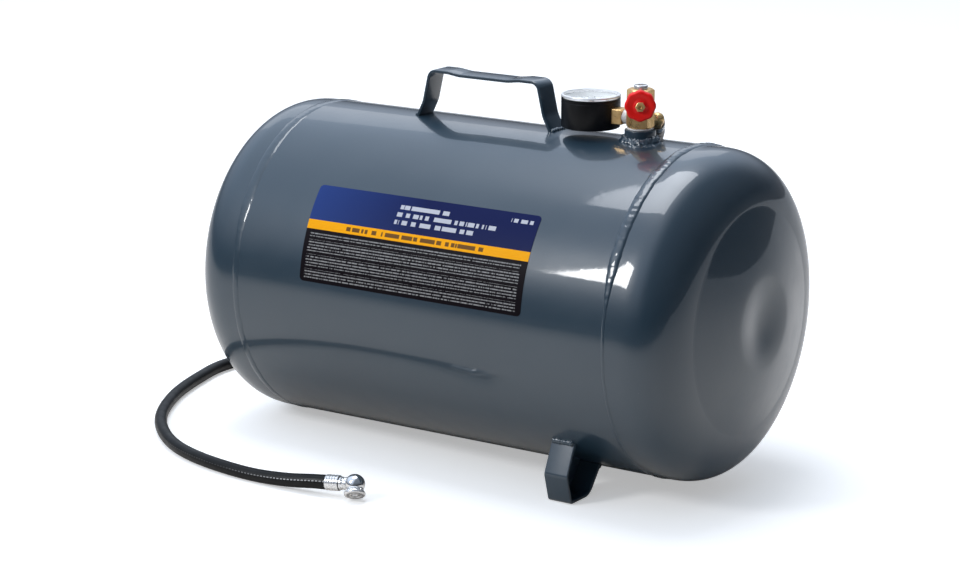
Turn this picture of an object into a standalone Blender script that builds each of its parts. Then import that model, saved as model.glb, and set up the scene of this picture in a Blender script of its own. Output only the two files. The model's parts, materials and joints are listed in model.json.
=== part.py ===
"""Portable air receiver tank: a welded steel vessel with a brass manifold, pressure gauge,
shut-off valve, relief valve, tyre-type fill valve, hose and clip-on air chuck.

Units are metres, +Z up. The tank's axis runs along X, with the manifold near the +X end.
The origin is the centre of the footprint, on the plane of the two foot pads.
"""
import math

import bmesh
import bpy
from mathutils import Matrix, Vector

MM = 0.001
GAP = 0.3 * MM

# Vessel
SHELL_RADIUS = 152.4 * MM
SHELL_WALL = 2.0 * MM
SHELL_HALF_LENGTH = 202.0 * MM
SEAM_X = 202.3 * MM
HEAD_WALL = 2.5 * MM
FLANGE_INSERT = 12.0 * MM
HEAD_STRAIGHT = 11.1 * MM
KNUCKLE_HEIGHT = 53.3 * MM
KNUCKLE_DEPTH = 80.1 * MM
KNUCKLE_POWER = 2.57
RING_ANGLE = math.radians(72.3)
CROWN_HEIGHT = 13.6 * MM
CROWN_POWER = 1.25
DIMPLE_RADIUS = 42.7 * MM
DIMPLE_DEPTH = 5.0 * MM
TANK_SEGMENTS = 36
SEAM_BEAD_HALF_WIDTH = 4.5 * MM
SEAM_BEAD_HEIGHT = 1.7 * MM
LONG_SEAM_ANGLE = math.radians(165)

# Carrying handle and feet
STRAP_WIDTH = 24.4 * MM
STRAP_THICKNESS = 3.0 * MM
ROOM_HALF_WIDTH = STRAP_WIDTH / 2 + 5 * MM
ROOM_THICKNESS = STRAP_THICKNESS + 2 * GAP
HANDLE_X = -16.3 * MM
HANDLE_TOP_Z = 196.4 * MM
HANDLE_GRIP_Z = 194.7 * MM
HANDLE_TOP_HALF = 60.0 * MM
HANDLE_BASE_HALF = 77.0 * MM
FOOT_X = 136.7 * MM
FOOT_BOTTOM_Z = -162.2 * MM
WELD_RADIUS = 3.2 * MM

# Manifold and its ports
MANIFOLD_X = 147.3 * MM
MANIFOLD_FLATS = 22.0 * MM
MANIFOLD_BASE_Z = 164.6 * MM
MANIFOLD_TOP_Z = 199.8 * MM
CENTRAL_BORE_RADIUS = 3.0 * MM
NECK_RADIUS = 14.3 * MM
NECK_TOP_Z = 162.6 * MM
VALVE_ANGLE = math.radians(-60)
HOSE_ANGLE = math.radians(60)
REAR_ANGLE = math.radians(120)
VALVE_Z = 189.0 * MM
HOSE_Z = 170.5 * MM
RELIEF_Z = 171.5 * MM
FILL_Z = 184.0 * MM
GAUGE_Z = 172.7 * MM

# Knob
KNOB_RADIUS = 14.2 * MM
KNOB_LOBES = 8
KNOB_LOBE_DEPTH = 0.9 * MM
KNOB_BACK = 22.5 * MM
KNOB_FRONT = 31.5 * MM

# Gauge movement
GAUGE_X = 94.7 * MM
PINION_TEETH = 12
PINION_PITCH_RADIUS = 1.25 * MM
GEAR_RATIO = 8
SECTOR_TEETH_BEHIND = 11
SECTOR_TEETH_AHEAD = 2
POINTER_ZERO = math.radians(-45)
SECTOR_SIDE = math.radians(225)
TAIL_ANGLE = math.radians(-60)
TAIL_LENGTH = 5.0 * MM
LINK_ANGLE = math.radians(-25)
LINK_LENGTH = 9.5 * MM

# Hose and chuck
HOSE_RADIUS = 6.1 * MM
HOSE_WALL = 2.7 * MM
HOSE_POINT_SPACING = 26 * MM
BARB_RADIUS = 2.3 * MM
ELBOW_REACH = 17.8 * MM
LEG_DIRECTION = Vector((-0.45, 0.73, -0.52)).normalized()
GROUND_SLOPE = math.atan2(-FOOT_BOTTOM_Z - SHELL_RADIUS, FOOT_X + SEAM_X)
CHUCK_FERRULE_START = (-44.0 * MM, -229.0 * MM)
CHUCK_FERRULE_HEIGHT = 12.2 * MM
CHUCK_DIRECTION = Vector((0.975, 0.20, 0.05)).normalized()
CHUCK_HEAD_DISTANCE = 31.6 * MM
CHUCK_HEAD_RADIUS = 9.4 * MM
MOUTH_DIRECTION = Vector((0.35, -0.52, -0.777)).normalized()

# Label
LABEL_START = math.radians(49.3)
LABEL_END = math.radians(84.1)
LABEL_LEFT = -126.5 * MM
LABEL_RIGHT = 117.0 * MM
LABEL_THICKNESS = 0.2 * MM


def clear_scene():
    for obj in list(bpy.data.objects):
        bpy.data.objects.remove(obj)


def new_collection(name):
    collection = bpy.data.collections.new(name)
    bpy.context.scene.collection.children.link(collection)
    return collection


clear_scene()
PARTS = new_collection("air_receiver_tank")
CUTTERS = new_collection("cutters")
ASSEMBLY = bpy.data.objects.new("assembly", None)
PARTS.objects.link(ASSEMBLY)


def material(name, colour, roughness, metallic):
    made = bpy.data.materials.new(name)
    made.use_nodes = True
    surface = made.node_tree.nodes["Principled BSDF"]
    surface.inputs["Base Color"].default_value = (*colour, 1.0)
    surface.inputs["Roughness"].default_value = roughness
    surface.inputs["Metallic"].default_value = metallic
    return made


PAINT = material("slate_paint", (0.045, 0.075, 0.105), 0.18, 0.0)
BRASS = material("brass", (0.62, 0.42, 0.16), 0.3, 1.0)
STEEL = material("plated_steel", (0.72, 0.72, 0.74), 0.22, 1.0)
RED = material("red_plastic", (0.78, 0.02, 0.02), 0.35, 0.0)
BLACK = material("black_enamel", (0.012, 0.012, 0.014), 0.35, 0.0)
RUBBER = material("black_rubber", (0.018, 0.018, 0.02), 0.5, 0.0)
TAPE = material("sealing_tape", (0.85, 0.85, 0.83), 0.6, 0.0)
DIAL = material("dial_white", (0.86, 0.87, 0.86), 0.45, 0.0)
CLEAR = material("clear_lens", (0.9, 0.92, 0.93), 0.08, 0.0)
DECAL = material("label_film", (0.05, 0.08, 0.3), 0.3, 0.0)


def frame_to(origin, z_axis, x_axis):
    """A frame at origin with its Z along z_axis and its X as near x_axis as possible."""
    z = Vector(z_axis).normalized()
    y = z.cross(Vector(x_axis)).normalized()
    x = y.cross(z)
    turn = Matrix((x, y, z)).transposed().to_4x4()
    return Matrix.Translation(origin) @ turn


def port_frame(angle, height):
    """A manifold port: Z points out of the port, X points up, and the origin is on the manifold's axis."""
    outward = (math.cos(angle), math.sin(angle), 0)
    return frame_to((MANIFOLD_X, 0, height), outward, (0, 0, 1))


UPRIGHT = Matrix.Identity(4)
TANK_AXIS = frame_to((0, 0, 0), (1, 0, 0), (0, 0, 1))
PLAIN_END_AXIS = frame_to((0, 0, 0), (-1, 0, 0), (0, 0, 1))
MANIFOLD_FRAME = Matrix.Translation((MANIFOLD_X, 0, 0))
VALVE_FRAME = port_frame(VALVE_ANGLE, VALVE_Z)
HOSE_FRAME = port_frame(HOSE_ANGLE, HOSE_Z)
RELIEF_FRAME = port_frame(REAR_ANGLE, RELIEF_Z)
FILL_FRAME = port_frame(REAR_ANGLE, FILL_Z)
GAUGE_PORT_FRAME = port_frame(math.pi, GAUGE_Z)
GAUGE_FRAME = Matrix.Translation((GAUGE_X, 0, GAUGE_Z))
SOCKET_FRAME = frame_to((GAUGE_X, 0, GAUGE_Z), (1, 0, 0), (0, 0, 1))


def ground_z(x):
    """Height of the ground under the tank: it touches the foot pads and the plain end's belly."""
    return -SHELL_RADIUS - (x + SEAM_X) * math.tan(GROUND_SLOPE)


def place(obj, frame, paint=None):
    """Puts an object in the assembly, or among the cutters when it has no paint."""
    if paint is None:
        CUTTERS.objects.link(obj)
        obj.hide_render = True
        obj.display_type = "WIRE"
    else:
        PARTS.objects.link(obj)
        obj.data.materials.append(paint)
    obj.parent = ASSEMBLY
    obj.matrix_basis = frame
    return obj


def mesh_object(name, mesh_data, frame, paint, sharp_degrees=35):
    mesh = bpy.data.meshes.new(name)
    mesh_data.to_mesh(mesh)
    mesh_data.free()
    mesh.shade_smooth()
    mesh.set_sharp_from_angle(angle=math.radians(sharp_degrees))
    return place(bpy.data.objects.new(name, mesh), frame, paint)


def turned(name, profile, frame, paint, segments=20, closed=False):
    """A turned shape about the frame's Z. The profile is (radius, height) pairs, down the outer side."""
    mesh_data = bmesh.new()
    points = [mesh_data.verts.new((radius, 0, height)) for radius, height in profile]
    for start, end in zip(points, points[1:]):
        mesh_data.edges.new((start, end))
    if closed:
        mesh_data.edges.new((points[-1], points[0]))
    obj = mesh_object(name, mesh_data, frame, paint)
    screw = obj.modifiers.new("turn", "SCREW")
    screw.axis = "Z"
    screw.steps = segments
    screw.render_steps = segments
    screw.use_merge_vertices = True
    screw.merge_threshold = 0.00001
    screw.use_smooth_shade = False
    return obj


def ring(name, inner, outer, low, high, frame, paint, segments=20):
    profile = [(outer, high), (outer, low), (inner, low), (inner, high)]
    return turned(name, profile, frame, paint, segments, closed=True)


def rod(name, radius, low, high, frame, paint=None, segments=12):
    mesh_data = bmesh.new()
    middle = Matrix.Translation((0, 0, (low + high) / 2))
    bmesh.ops.create_cone(
        mesh_data, cap_ends=True, segments=segments, radius1=radius, radius2=radius,
        depth=high - low, matrix=middle,
    )
    return mesh_object(name, mesh_data, frame, paint)


def hexagon(name, flats, low, high, frame, paint=None):
    """A hexagonal bar with flats facing the frame's X axis."""
    return rod(name, flats / math.sqrt(3), low, high, frame, paint, segments=6)


def block(name, low, high, frame, paint=None):
    mesh_data = bmesh.new()
    size = Vector(high) - Vector(low)
    middle = (Vector(high) + Vector(low)) / 2
    stretch = Matrix.Diagonal((*size, 1))
    bmesh.ops.create_cube(mesh_data, size=1.0, matrix=Matrix.Translation(middle) @ stretch)
    return mesh_object(name, mesh_data, frame, paint)


def ball(name, radius, frame, paint=None):
    mesh_data = bmesh.new()
    bmesh.ops.create_uvsphere(mesh_data, u_segments=14, v_segments=8, radius=radius)
    return mesh_object(name, mesh_data, frame, paint)


def plate(name, outlines, low, high, frame, paint=None):
    """A flat plate from closed outlines of (x, y) points, where an inner outline is a hole."""
    curve = bpy.data.curves.new(name, "CURVE")
    curve.dimensions = "2D"
    curve.fill_mode = "BOTH"
    curve.extrude = (high - low) / 2
    for outline in outlines:
        spline = curve.splines.new("POLY")
        spline.points.add(len(outline) - 1)
        spline.use_cyclic_u = True
        for point, (x, y) in zip(spline.points, outline):
            point.co = (x, y, 0, 1)
    drawn = bpy.data.objects.new(name, curve)
    CUTTERS.objects.link(drawn)
    return curve_to_mesh(drawn, Matrix.Translation((0, 0, (low + high) / 2)), frame, paint)


def curve_to_mesh(drawn, shift, frame, paint):
    bpy.context.view_layer.update()
    graph = bpy.context.evaluated_depsgraph_get()
    mesh = bpy.data.meshes.new_from_object(drawn.evaluated_get(graph))
    mesh_data = bmesh.new()
    mesh_data.from_mesh(mesh)
    bmesh.ops.remove_doubles(mesh_data, verts=mesh_data.verts, dist=0.000001)
    bmesh.ops.transform(mesh_data, matrix=shift, verts=mesh_data.verts)
    bmesh.ops.recalc_face_normals(mesh_data, faces=mesh_data.faces)
    name = drawn.name
    bpy.data.objects.remove(drawn)
    bpy.data.meshes.remove(mesh)
    return mesh_object(name, mesh_data, frame, paint)


def wire(name, points, radius, frame, paint=None, resolution=2, filled=True):
    """A round wire along points."""
    curve = bpy.data.curves.new(name, "CURVE")
    curve.dimensions = "3D"
    curve.bevel_depth = radius
    curve.bevel_resolution = resolution
    curve.use_fill_caps = filled
    spline = curve.splines.new("POLY")
    spline.points.add(len(points) - 1)
    for point, place_at in zip(spline.points, points):
        point.co = (*place_at, 1)
    return place(bpy.data.objects.new(name, curve), frame, paint)


def combine(target, other, operation):
    modifier = target.modifiers.new(f"{operation.lower()}_{other.name}"[:60], "BOOLEAN")
    modifier.operation = operation
    modifier.solver = "EXACT"
    modifier.object = other
    return target


def cut(target, *others):
    for other in others:
        combine(target, other, "DIFFERENCE")
    return target


def join(target, *others):
    for other in others:
        combine(target, other, "UNION")
    return target


def circle(radius, count, centre=(0, 0)):
    steps = [2 * math.pi * i / count for i in range(count)]
    return [(centre[0] + radius * math.cos(a), centre[1] + radius * math.sin(a)) for a in steps]


def arc(radius, start, end, count, centre=(0, 0)):
    steps = [start + (end - start) * i / count for i in range(count + 1)]
    return [(centre[0] + radius * math.cos(a), centre[1] + radius * math.sin(a)) for a in steps]


def rounded(corners, radii, steps=4):
    """The line through corners, each inner corner rounded to its radius."""
    path = [Vector(corners[0])]
    for before, corner, after, radius in zip(corners, corners[1:], corners[2:], radii):
        corner = Vector(corner)
        arriving = (Vector(before) - corner).normalized()
        leaving = (Vector(after) - corner).normalized()
        half = arriving.angle(leaving) / 2
        bisector = (arriving + leaving).normalized()
        centre = corner + bisector * radius / math.sin(half)
        first = corner + arriving * radius / math.tan(half) - centre
        last = corner + leaving * radius / math.tan(half) - centre
        sweep = first.angle_signed(last)
        path += [centre + first @ Matrix.Rotation(sweep * i / steps, 2) for i in range(steps + 1)]
    return path + [Vector(corners[-1])]


def smooth_path(points, spacing):
    """A smooth line through all points, drawn with points about spacing apart."""
    points = [Vector(p) for p in points]
    padded = [2 * points[0] - points[1], *points, 2 * points[-1] - points[-2]]
    path = []
    for a, b, c, d in zip(padded, padded[1:], padded[2:], padded[3:]):
        before, here, after = ((q - p).length for p, q in ((a, b), (b, c), (c, d)))
        leaving = ((b - a) / before * here + (c - b) / here * before) / (before + here)
        arriving = ((c - b) / here * after + (d - c) / after * here) / (here + after)
        steps = max(1, round(here / spacing))
        for i in range(steps):
            t = i / steps
            path.append(b * (1 + 2 * t) * (1 - t) ** 2 + c * t * t * (3 - 2 * t)
                        + leaving * here * t * (1 - t) ** 2 - arriving * here * t * t * (1 - t))
    return path + [points[-1]]


# ---------------------------------------------------------------- vessel

def head_profile():
    """The head's outer surface as (radius, height from the tank's middle), from its centre to its flange."""
    knuckle_base = SEAM_X + HEAD_STRAIGHT

    def knuckle(angle):
        radius = SHELL_RADIUS - KNUCKLE_DEPTH + KNUCKLE_DEPTH * math.cos(angle) ** (2 / KNUCKLE_POWER)
        return radius, knuckle_base + KNUCKLE_HEIGHT * math.sin(angle) ** (2 / KNUCKLE_POWER)

    ring_radius, ring_height = knuckle(RING_ANGLE)
    rim_height = ring_height + CROWN_HEIGHT
    points = []
    for share in (0, 0.4, 0.8):
        drop = DIMPLE_DEPTH * (1 + math.cos(math.pi * share)) / 2
        points.append((DIMPLE_RADIUS * share, rim_height - drop))
    for share in (0, 0.5):
        radius = DIMPLE_RADIUS + (ring_radius - DIMPLE_RADIUS) * share
        points.append((radius, rim_height - CROWN_HEIGHT * share ** CROWN_POWER))
    knuckle_steps = 5
    points += [knuckle(RING_ANGLE * (1 - i / knuckle_steps)) for i in range(knuckle_steps)]
    flange_radius = SHELL_RADIUS - SHELL_WALL - GAP
    points += [
        (SHELL_RADIUS, knuckle_base),
        (SHELL_RADIUS, SEAM_X + 0.2 * MM),
        (flange_radius, SEAM_X),
        (flange_radius, SEAM_X - FLANGE_INSERT),
    ]
    return points


def envelope(name):
    """A cylinder a hair larger than the shell, which trims what is welded to it."""
    return rod(name, SHELL_RADIUS + GAP, -SEAM_X - 0.02, SEAM_X + 0.02, TANK_AXIS, segments=TANK_SEGMENTS)


def build_vessel():
    inner = SHELL_RADIUS - SHELL_WALL
    shell = ring("tank_shell", inner, SHELL_RADIUS, -SHELL_HALF_LENGTH, SHELL_HALF_LENGTH,
                 TANK_AXIS, PAINT, TANK_SEGMENTS)
    cut(shell, rod("neck_opening", NECK_RADIUS + 0.4 * MM, 0.12, 0.17, MANIFOLD_FRAME, segments=24))
    for name, frame in (("head_right", TANK_AXIS), ("head_left", PLAIN_END_AXIS)):
        head = turned(name, head_profile(), frame, PAINT, TANK_SEGMENTS)
        wall = head.modifiers.new("wall", "SOLIDIFY")
        wall.thickness = HEAD_WALL
        wall.offset = -1
        wall.use_even_offset = True
    bead_base = SHELL_RADIUS + GAP
    for name, frame in (("seam_weld_right", TANK_AXIS), ("seam_weld_left", PLAIN_END_AXIS)):
        shoulder = SEAM_BEAD_HALF_WIDTH * 0.55
        profile = [
            (bead_base, SEAM_X + SEAM_BEAD_HALF_WIDTH),
            (bead_base + SEAM_BEAD_HEIGHT * 0.7, SEAM_X + shoulder),
            (bead_base + SEAM_BEAD_HEIGHT, SEAM_X),
            (bead_base + SEAM_BEAD_HEIGHT * 0.7, SEAM_X - shoulder),
            (bead_base, SEAM_X - SEAM_BEAD_HALF_WIDTH),
        ]
        turned(name, profile, frame, PAINT, TANK_SEGMENTS, closed=True)
    long_radius = SHELL_RADIUS - 0.8 * MM
    long_frame = frame_to(
        (0, long_radius * math.sin(LONG_SEAM_ANGLE), long_radius * math.cos(LONG_SEAM_ANGLE)),
        (1, 0, 0), (0, 0, 1))
    long_end = SEAM_X - SEAM_BEAD_HALF_WIDTH - 1 * MM
    long_weld = rod("shell_seam_weld", 2.6 * MM, -long_end, long_end, long_frame, PAINT, segments=12)
    cut(long_weld, ENVELOPE)


def strap(name, path, half_width, thickness, to_point, frame, paint=None):
    """A flat strap along a path. to_point turns a path point and a distance across into a 3D point."""
    mesh_data = bmesh.new()
    rows = [[mesh_data.verts.new(to_point(p, side * half_width)) for side in (-1, 1)] for p in path]
    for (a, b), (c, d) in zip(rows, rows[1:]):
        mesh_data.faces.new((a, b, d, c))
    obj = mesh_object(name, mesh_data, frame, paint)
    wall = obj.modifiers.new("thickness", "SOLIDIFY")
    wall.thickness = thickness
    wall.offset = 0
    wall.use_even_offset = True
    return obj


def weld(name, centre, direction, half_length, cutters, frame=UPRIGHT):
    """A fillet of weld metal along direction, trimmed by what it lies against."""
    bead_frame = frame @ frame_to(centre, direction, (0, 0, 1))
    bead = rod(name, WELD_RADIUS, -half_length, half_length, bead_frame, PAINT, segments=12)
    return cut(bead, *cutters)


def across_tank(point, side):
    """Where a point of a strap path in the tank's lengthwise plane lies, at a side step along Y."""
    return (point[0], side, point[1])


def along_tank(point, side):
    """Where a point of a strap path in the tank's cross plane lies, at a side step along X."""
    return (side, point[0], point[1])


def build_handle():
    half = [
        (HANDLE_BASE_HALF, 146 * MM),
        (HANDLE_BASE_HALF - 10 * MM, 166 * MM),
        (HANDLE_TOP_HALF, HANDLE_TOP_Z),
        (40 * MM, HANDLE_TOP_Z),
        (27 * MM, HANDLE_GRIP_Z),
    ]
    radii = [25 * MM, 8 * MM, 30 * MM, 30 * MM]
    corners = half + [(-x, z) for x, z in half[::-1]]
    path = rounded(corners, radii + radii[::-1], steps=4)
    frame = Matrix.Translation((HANDLE_X, 0, 0))
    handle = strap("carry_handle", path, STRAP_WIDTH / 2, STRAP_THICKNESS, across_tank, frame, PAINT)
    cut(handle, ENVELOPE)
    room = strap("handle_room", path, ROOM_HALF_WIDTH, ROOM_THICKNESS, across_tank, frame)
    base = HANDLE_BASE_HALF - 0.4 * MM
    for name, side in (("handle_weld_left", -1), ("handle_weld_right", 1)):
        centre = (HANDLE_X + side * base, 0, SHELL_RADIUS)
        weld(name, centre, (0, 1, 0), STRAP_WIDTH / 2 - 0.5 * MM, (ENVELOPE, room))


def foot_path(side):
    """The foot's centreline as (y, z): a strap loop from the shell down to a flat pad and back up."""
    pad_z = FOOT_BOTTOM_Z + STRAP_THICKNESS / 2
    corners = [
        (-106.5 * MM, -102 * MM),
        (-121.8 * MM, -135.5 * MM),
        (-114.6 * MM, pad_z),
        (-84 * MM, pad_z),
        (-64.5 * MM, -136 * MM),
    ]
    path = rounded(corners, (6 * MM, 3 * MM, 15 * MM), steps=4)
    return [Vector((side * y, z)) for y, z in path]


def build_feet():
    """Each foot is a strap loop whose side away from the manifold end is closed by a web."""
    frame = Matrix.Translation((FOOT_X, 0, 0))
    web_frame = frame_to((FOOT_X, 0, 0), (1, 0, 0), (0, 1, 0))
    web_low = 0.6 * MM - STRAP_WIDTH / 2
    for name, side in (("front", 1), ("rear", -1)):
        path = foot_path(side)
        foot = strap(f"foot_{name}", path, STRAP_WIDTH / 2, STRAP_THICKNESS, along_tank, frame, PAINT)
        join(foot, plate(f"foot_web_{name}", [path], web_low, web_low + 2.4 * MM, web_frame))
        cut(foot, ENVELOPE)
        room = strap(f"foot_room_{name}", path, ROOM_HALF_WIDTH, ROOM_THICKNESS, along_tank, frame)
        outer = (0, side * -110.9 * MM, -106.1 * MM)
        inner = (0, side * -63.2 * MM, -139.6 * MM)
        for place_name, centre in (("outer", outer), ("inner", inner)):
            weld(f"foot_{name}_weld_{place_name}", centre, (1, 0, 0), STRAP_WIDTH / 2 - 0.5 * MM,
                 (ENVELOPE, room), frame)


def build_neck():
    inner = 10.9 * MM
    ring("neck_bung", inner, NECK_RADIUS, 145 * MM, NECK_TOP_Z, MANIFOLD_FRAME, PAINT)
    start = NECK_RADIUS + 0.4 * MM
    profile = [
        (start, 157.0 * MM),
        (start + 1.6 * MM, 156.2 * MM),
        (start + 3.6 * MM, 153.6 * MM),
        (start + 4.6 * MM, 149 * MM),
        (start, 146 * MM),
    ]
    bead = turned("neck_weld", profile, MANIFOLD_FRAME, PAINT, closed=True)
    cut(bead, ENVELOPE)


# ---------------------------------------------------------------- manifold and valves

def build_manifold():
    body = hexagon("manifold_body", MANIFOLD_FLATS, MANIFOLD_BASE_Z, MANIFOLD_TOP_Z, MANIFOLD_FRAME, BRASS)
    corner = MANIFOLD_FLATS / math.sqrt(3)
    chamfer = 1.8 * MM
    barrel = turned("manifold_barrel", [
        (0, MANIFOLD_TOP_Z),
        (corner - chamfer, MANIFOLD_TOP_Z),
        (corner + 0.1 * MM, MANIFOLD_TOP_Z - chamfer * 0.7),
        (corner + 0.1 * MM, MANIFOLD_BASE_Z + chamfer * 0.7),
        (corner - chamfer, MANIFOLD_BASE_Z),
        (0, MANIFOLD_BASE_Z),
    ], MANIFOLD_FRAME, None)
    combine(body, barrel, "INTERSECT")
    spigot_top = MANIFOLD_BASE_Z + 2 * MM
    join(body, rod("manifold_spigot", 9.9 * MM, 148 * MM, spigot_top, MANIFOLD_FRAME, segments=20))
    face = MANIFOLD_FLATS / 2
    outside = face + 3 * MM
    gallery_x = 6.0 * MM
    gallery_y = 4.6 * MM
    gallery = frame_to((MANIFOLD_X + gallery_x, 0, VALVE_Z), (0, 1, 0), (0, 0, 1))
    gallery_drop = Matrix.Translation((MANIFOLD_X + gallery_x, gallery_y, 0))
    gauge_port = rod("gauge_port", 5.5 * MM, 8.4 * MM - GAP, outside, GAUGE_PORT_FRAME)
    drillings = [
        rod("main_bore", CENTRAL_BORE_RADIUS, 140 * MM, 205 * MM, MANIFOLD_FRAME, segments=13),
        rod("plug_bore", 4.7 * MM, 191.5 * MM, 205 * MM, MANIFOLD_FRAME, segments=17),
        rod("valve_seat_hole", 1.6 * MM, 0, 5 * MM, VALVE_FRAME),
        rod("valve_chamber", 4.6 * MM, 4.2 * MM, outside, VALVE_FRAME),
        rod("gallery_across", 1.1 * MM, -4 * MM, gallery_y + 1 * MM, gallery, segments=10),
        rod("gallery_down", 1.1 * MM, HOSE_Z, VALVE_Z, gallery_drop, segments=10),
        rod("hose_port", 3.2 * MM, 6 * MM, outside, HOSE_FRAME),
        gauge_port,
        rod("gauge_pilot", 1.8 * MM, 0, outside, GAUGE_PORT_FRAME),
        rod("relief_port", 3.9 * MM, 7.5 * MM, outside, RELIEF_FRAME),
        rod("relief_pilot", 1.5 * MM, 0, outside, RELIEF_FRAME),
        rod("fill_port", 3.6 * MM, 7.5 * MM, outside, FILL_FRAME),
        rod("fill_pilot", 1.5 * MM, 0, outside, FILL_FRAME),
    ]
    cut(body, *drillings)
    tape = [
        (12.2 * MM, 164.3 * MM),
        (12.2 * MM, 162.9 * MM),
        (10.6 * MM, 162.9 * MM),
        (10.6 * MM, 150 * MM),
        (10.2 * MM, 150 * MM),
        (10.2 * MM, 164.3 * MM),
    ]
    turned("manifold_thread_tape", tape, MANIFOLD_FRAME, TAPE, closed=True)
    plug_top = MANIFOLD_TOP_Z + 3.5 * MM
    plug = turned("top_plug", [
        (0, plug_top),
        (5.6 * MM, plug_top),
        (6.4 * MM, plug_top - 0.8 * MM),
        (6.4 * MM, MANIFOLD_TOP_Z + GAP),
        (4.4 * MM, MANIFOLD_TOP_Z + GAP),
        (4.4 * MM, 192 * MM),
        (0, 192 * MM),
    ], MANIFOLD_FRAME, STEEL)
    cut(plug, hexagon("plug_socket", 5 * MM, plug_top - 4 * MM, plug_top + 1 * MM, MANIFOLD_FRAME))


def build_shutoff_valve():
    bonnet = hexagon("valve_bonnet", 11 * MM, 11.3 * MM, 19 * MM, VALVE_FRAME, BRASS)
    join(bonnet, rod("bonnet_thread", 4.3 * MM, 8.4 * MM, 12 * MM, VALVE_FRAME))
    cut(bonnet, rod("bonnet_bore", 2.2 * MM, 8 * MM, 20 * MM, VALVE_FRAME),
        rod("packing_pocket", 3.9 * MM, 12.7 * MM, 20 * MM, VALVE_FRAME))
    ring("valve_packing", 2.2 * MM, 3.6 * MM, 13 * MM, 18.7 * MM, VALVE_FRAME, RUBBER, segments=16)
    turned("valve_seat_disc", [(0, 6 * MM), (3.2 * MM, 6 * MM), (3.2 * MM, 4.5 * MM), (0, 4.5 * MM)],
           VALVE_FRAME, RUBBER, segments=16)
    spindle = rod("valve_spindle", 1.9 * MM, 6.3 * MM, 34.2 * MM, VALVE_FRAME, BRASS)
    cut(spindle, rod("spindle_centre_hole", 0.9 * MM, 31.5 * MM, 35 * MM, VALVE_FRAME, segments=10))
    build_knob()
    nut = hexagon("knob_nut", 8 * MM, KNOB_FRONT + GAP, 34.8 * MM, VALVE_FRAME, BRASS)
    cut(nut, rod("knob_nut_bore", 2.2 * MM, KNOB_FRONT, 36 * MM, VALVE_FRAME, segments=16))


def build_knob():
    mesh_data = bmesh.new()
    middle = Matrix.Translation((0, 0, (KNOB_BACK + KNOB_FRONT) / 2))
    bmesh.ops.create_cone(
        mesh_data, cap_ends=True, segments=6 * KNOB_LOBES, radius1=KNOB_RADIUS, radius2=KNOB_RADIUS,
        depth=KNOB_FRONT - KNOB_BACK, matrix=middle,
    )
    for vertex in mesh_data.verts:
        angle = math.atan2(vertex.co.y, vertex.co.x)
        dip = KNOB_LOBE_DEPTH * (1 - math.cos(KNOB_LOBES * angle)) / 2
        vertex.co.xy *= 1 - dip / KNOB_RADIUS
    knob = mesh_object("valve_knob", mesh_data, VALVE_FRAME, RED, sharp_degrees=50)
    edge = knob.modifiers.new("edge", "BEVEL")
    edge.width = 1.6 * MM
    edge.segments = 2
    edge.limit_method = "ANGLE"
    edge.angle_limit = math.radians(60)
    cut(knob, rod("knob_bore", 2.2 * MM, KNOB_BACK - 1 * MM, KNOB_FRONT + 1 * MM, VALVE_FRAME))


def build_relief_valve():
    body = turned("relief_valve_body", [
        (4.8 * MM, 30 * MM),
        (5.0 * MM, 29.5 * MM),
        (5.0 * MM, 11.8 * MM),
        (3.6 * MM, 11.3 * MM),
        (3.6 * MM, 8.4 * MM),
        (1.8 * MM, 8.4 * MM),
        (1.8 * MM, 17 * MM),
        (3.6 * MM, 17 * MM),
        (3.6 * MM, 30 * MM),
    ], RELIEF_FRAME, BRASS, closed=True)
    collar = hexagon("relief_hexagon", 11 * MM, 11.3 * MM, 17 * MM, RELIEF_FRAME)
    cut(collar, rod("relief_hexagon_bore", 3 * MM, 10 * MM, 18 * MM, RELIEF_FRAME, segments=12))
    join(body, collar)
    ring("relief_valve_cap", 1.6 * MM, 3.3 * MM, 27 * MM, 30.4 * MM, RELIEF_FRAME, BRASS, segments=16)
    turned("relief_valve_disc", [(0, 19 * MM), (2.9 * MM, 19 * MM), (2.9 * MM, 17.3 * MM), (0, 17.3 * MM)],
           RELIEF_FRAME, RUBBER, segments=16)
    stem = rod("relief_valve_stem", 1.2 * MM, 19.3 * MM, 33 * MM, RELIEF_FRAME, STEEL, segments=12)
    eye_low = (-1.9 * MM, -1.4 * MM, 32 * MM)
    eye_high = (1.9 * MM, 1.4 * MM, 36.2 * MM)
    join(stem, block("stem_eye", eye_low, eye_high, RELIEF_FRAME))
    eye_frame = RELIEF_FRAME @ frame_to((0, 0, 34.1 * MM), (0, 1, 0), (1, 0, 0))
    cut(stem, rod("stem_eye_hole", 1.25 * MM, -3 * MM, 3 * MM, eye_frame, segments=12))
    coil("relief_valve_spring", 2.6 * MM, 0.45 * MM, 21.3 * MM, 26.2 * MM, 4, RELIEF_FRAME)
    build_pull_ring(eye_frame)


def build_pull_ring(eye_frame):
    """A wire ring hanging from the stem's eye. The frame's Z runs along the eye's hole, its X up."""
    radius = 7 * MM
    curve_points = circle(radius, 32)
    mesh_points = [(x - radius, 0, y) for x, y in curve_points]
    pull = wire("relief_pull_ring", mesh_points, 0.8 * MM, eye_frame, STEEL, resolution=1, filled=False)
    pull.data.splines[0].use_cyclic_u = True


def coil(name, radius, wire_radius, low, high, turns, frame):
    count = turns * 10
    points = []
    for i in range(count + 1):
        angle = 2 * math.pi * turns * i / count
        points.append((radius * math.cos(angle), radius * math.sin(angle), low + (high - low) * i / count))
    return wire(name, points, wire_radius, frame, STEEL, resolution=0)


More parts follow.
